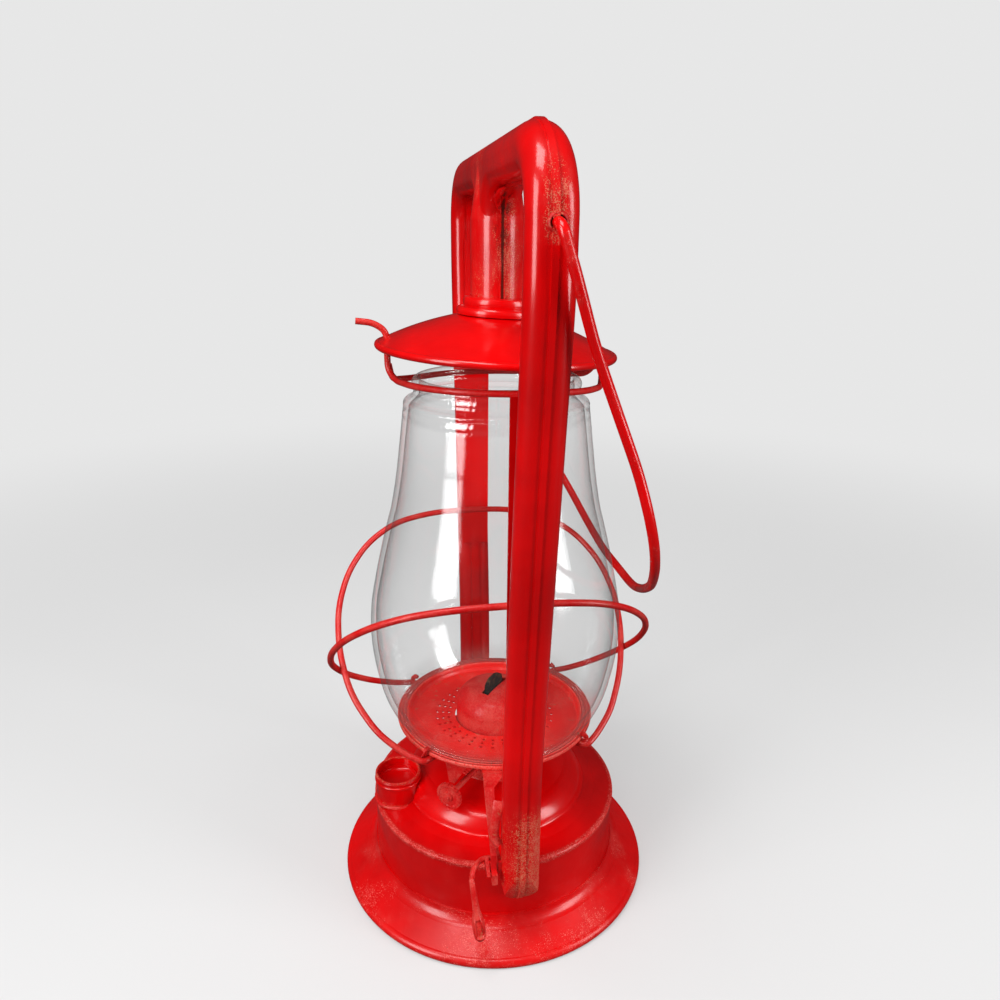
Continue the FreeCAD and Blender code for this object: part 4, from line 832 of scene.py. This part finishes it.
# nodes with another finish than the side tubes
nodeFinish = {
    "base_skirt": ["base_skirt", "fount_bottom"],
    "fount_body": ["fount_body"],
    "neck": ["filler_neck"],
    "hood": ["filler_plug", "hood", "hood_collar"],
    "burner": ["burner_collar", "burner_body", "burner_cone"],
    "brass": ["wick_tube", "raiser_wheel_inner", "raiser_wheel_outer"],
    "wick": ["wick"],
    "lift": ["raiser_shaft", "wick_knob", "plate_tongue", "lift_strap", "lift_lever", "thumb_piece",
             "lever_bracket"],
    "plate": ["globe_plate"],
    "wire": ["guard_wire_left", "guard_wire_right", "catch_wire", "catch_loop"],
    "globe": ["globe"],
    "bail": ["bail"],
    "crown": ["crown_front", "crown_back"],
}


for name, item in nodes.items():
    keys = [key for key, names in nodeFinish.items() if name in names]
    item.data.materials.clear()
    item.data.materials.append(finish[keys[0] if keys else "tube"])
# finish and material slot of the new pieces
pieceFinish = {
    "knob": ("lift", "dull_red_paint"), "wick": ("wick", "wick_cotton"), "hook": ("wire", "dull_red_paint"),
    "eye": ("burr", "red_paint"), "guide": ("lift", "dull_red_paint"), "lap": ("crown", "red_paint"),
    "solder": ("lift", "dull_red_paint"), "thumb": ("lift", "dull_red_paint"),
}
for key, made in newPieces.items():
    look, slot = pieceFinish[key]
    for piece in made:
        piece.data.materials.append(finish[look])
print("finishes on", len(nodes), "nodes and", sum(len(made) for made in newPieces.values()), "pieces")


# stage: pale floor that fades into the background, soft lamps
lamps = {
    "key": {"spot": (0.55, -0.85, 0.55), "size": (0.45, 0.90), "power": 10.0},
    "fill": {"spot": (0.55, 0.80, 0.45), "size": (0.35, 0.80), "power": 7.0},
    "top": {"spot": (0.25, -0.20, 1.10), "size": (0.45, 0.45), "power": 5.0},
}
stage = {
    "size": 24, "fade": (0.25, 1.1), "back": 0.80, "glow": 0.36, "floor": 0.40, "cloudy": 0.03,
    "mirrored": 0.03, "ambient": 0.27, "shade": 0.06, "middle": (0, 0, 0.17),
}


# 1 for what the camera sees, straight on or through the glass
def seenDirectly(paint):
    rays = [paint.node("LightPath", output=ray) for ray in ("Is Camera Ray", "Is Transmission Ray")]
    return rays[0].most(rays[1])


def makeFloor():
    startPiece()
    bpy.ops.mesh.primitive_plane_add(size=stage["size"], location=(0, 0, 0))
    floor = bpy.context.object
    floor.name = "floor"
    paint = Paint("paleFloor")
    far = paint.around.step(*stage["fade"])
    cloudy = paint.noise(3, 3) * stage["cloudy"]
    colour = paint.mix(far, paint.grey(cloudy + stage["floor"]), (0, 0, 0))
    glow = paint.mix(far, (stage["glow"],) * 3, (stage["back"],) * 3)
    shown = paint.surface({"Base Color": colour, "Roughness": 0.9, "Specular IOR Level": 0.0,
                           "Emission Color": glow, "Emission Strength": 1.0})
    plain = paint.surface({"Base Color": (stage["shade"],) * 3, "Roughness": 0.9,
                           "Specular IOR Level": 0.0})
    mixed = paint.node("MixShader", inputs={0: seenDirectly(paint), 1: plain, 2: shown})
    floor.data.materials.append(paint.done(mixed))


def makeLamps():
    for name, lamp in lamps.items():
        light = bpy.data.lights.new(name + "Lamp", "AREA")
        light.shape = "RECTANGLE"
        light.size, light.size_y = lamp["size"]
        light.energy = lamp["power"]
        item = bpy.data.objects.new(name + "Lamp", light)
        bpy.context.scene.collection.objects.link(item)
        item.location = lamp["spot"]
        aim = Vector(stage["middle"]) - item.location
        item.rotation_euler = aim.to_track_quat("-Z", "Y").to_euler()


def makeWorld():
    world = bpy.data.worlds.new("studio")
    bpy.context.scene.world = world
    world.use_nodes = True
    tree = world.node_tree
    back = tree.nodes["Background"]
    path = tree.nodes.new("ShaderNodeLightPath")
    seen = tree.nodes.new("ShaderNodeMath")
    seen.operation = "MAXIMUM"
    tree.links.new(path.outputs["Is Camera Ray"], seen.inputs[0])
    tree.links.new(path.outputs["Is Transmission Ray"], seen.inputs[1])
    strengths = [tree.nodes.new("ShaderNodeMix") for _ in range(2)]
    inner, outer = strengths
    tree.links.new(path.outputs["Is Glossy Ray"], inner.inputs[0])
    inner.inputs[2].default_value = stage["ambient"]
    inner.inputs[3].default_value = stage["mirrored"]
    tree.links.new(seen.outputs[0], outer.inputs[0])
    tree.links.new(inner.outputs[0], outer.inputs[2])
    outer.inputs[3].default_value = stage["back"]
    tree.links.new(outer.outputs[0], back.inputs["Strength"])
    back.inputs["Color"].default_value = (1, 1, 1, 1)
    bpy.context.scene.view_settings.view_transform = "Standard"


makeFloor()
makeLamps()
makeWorld()
print("stage ready")
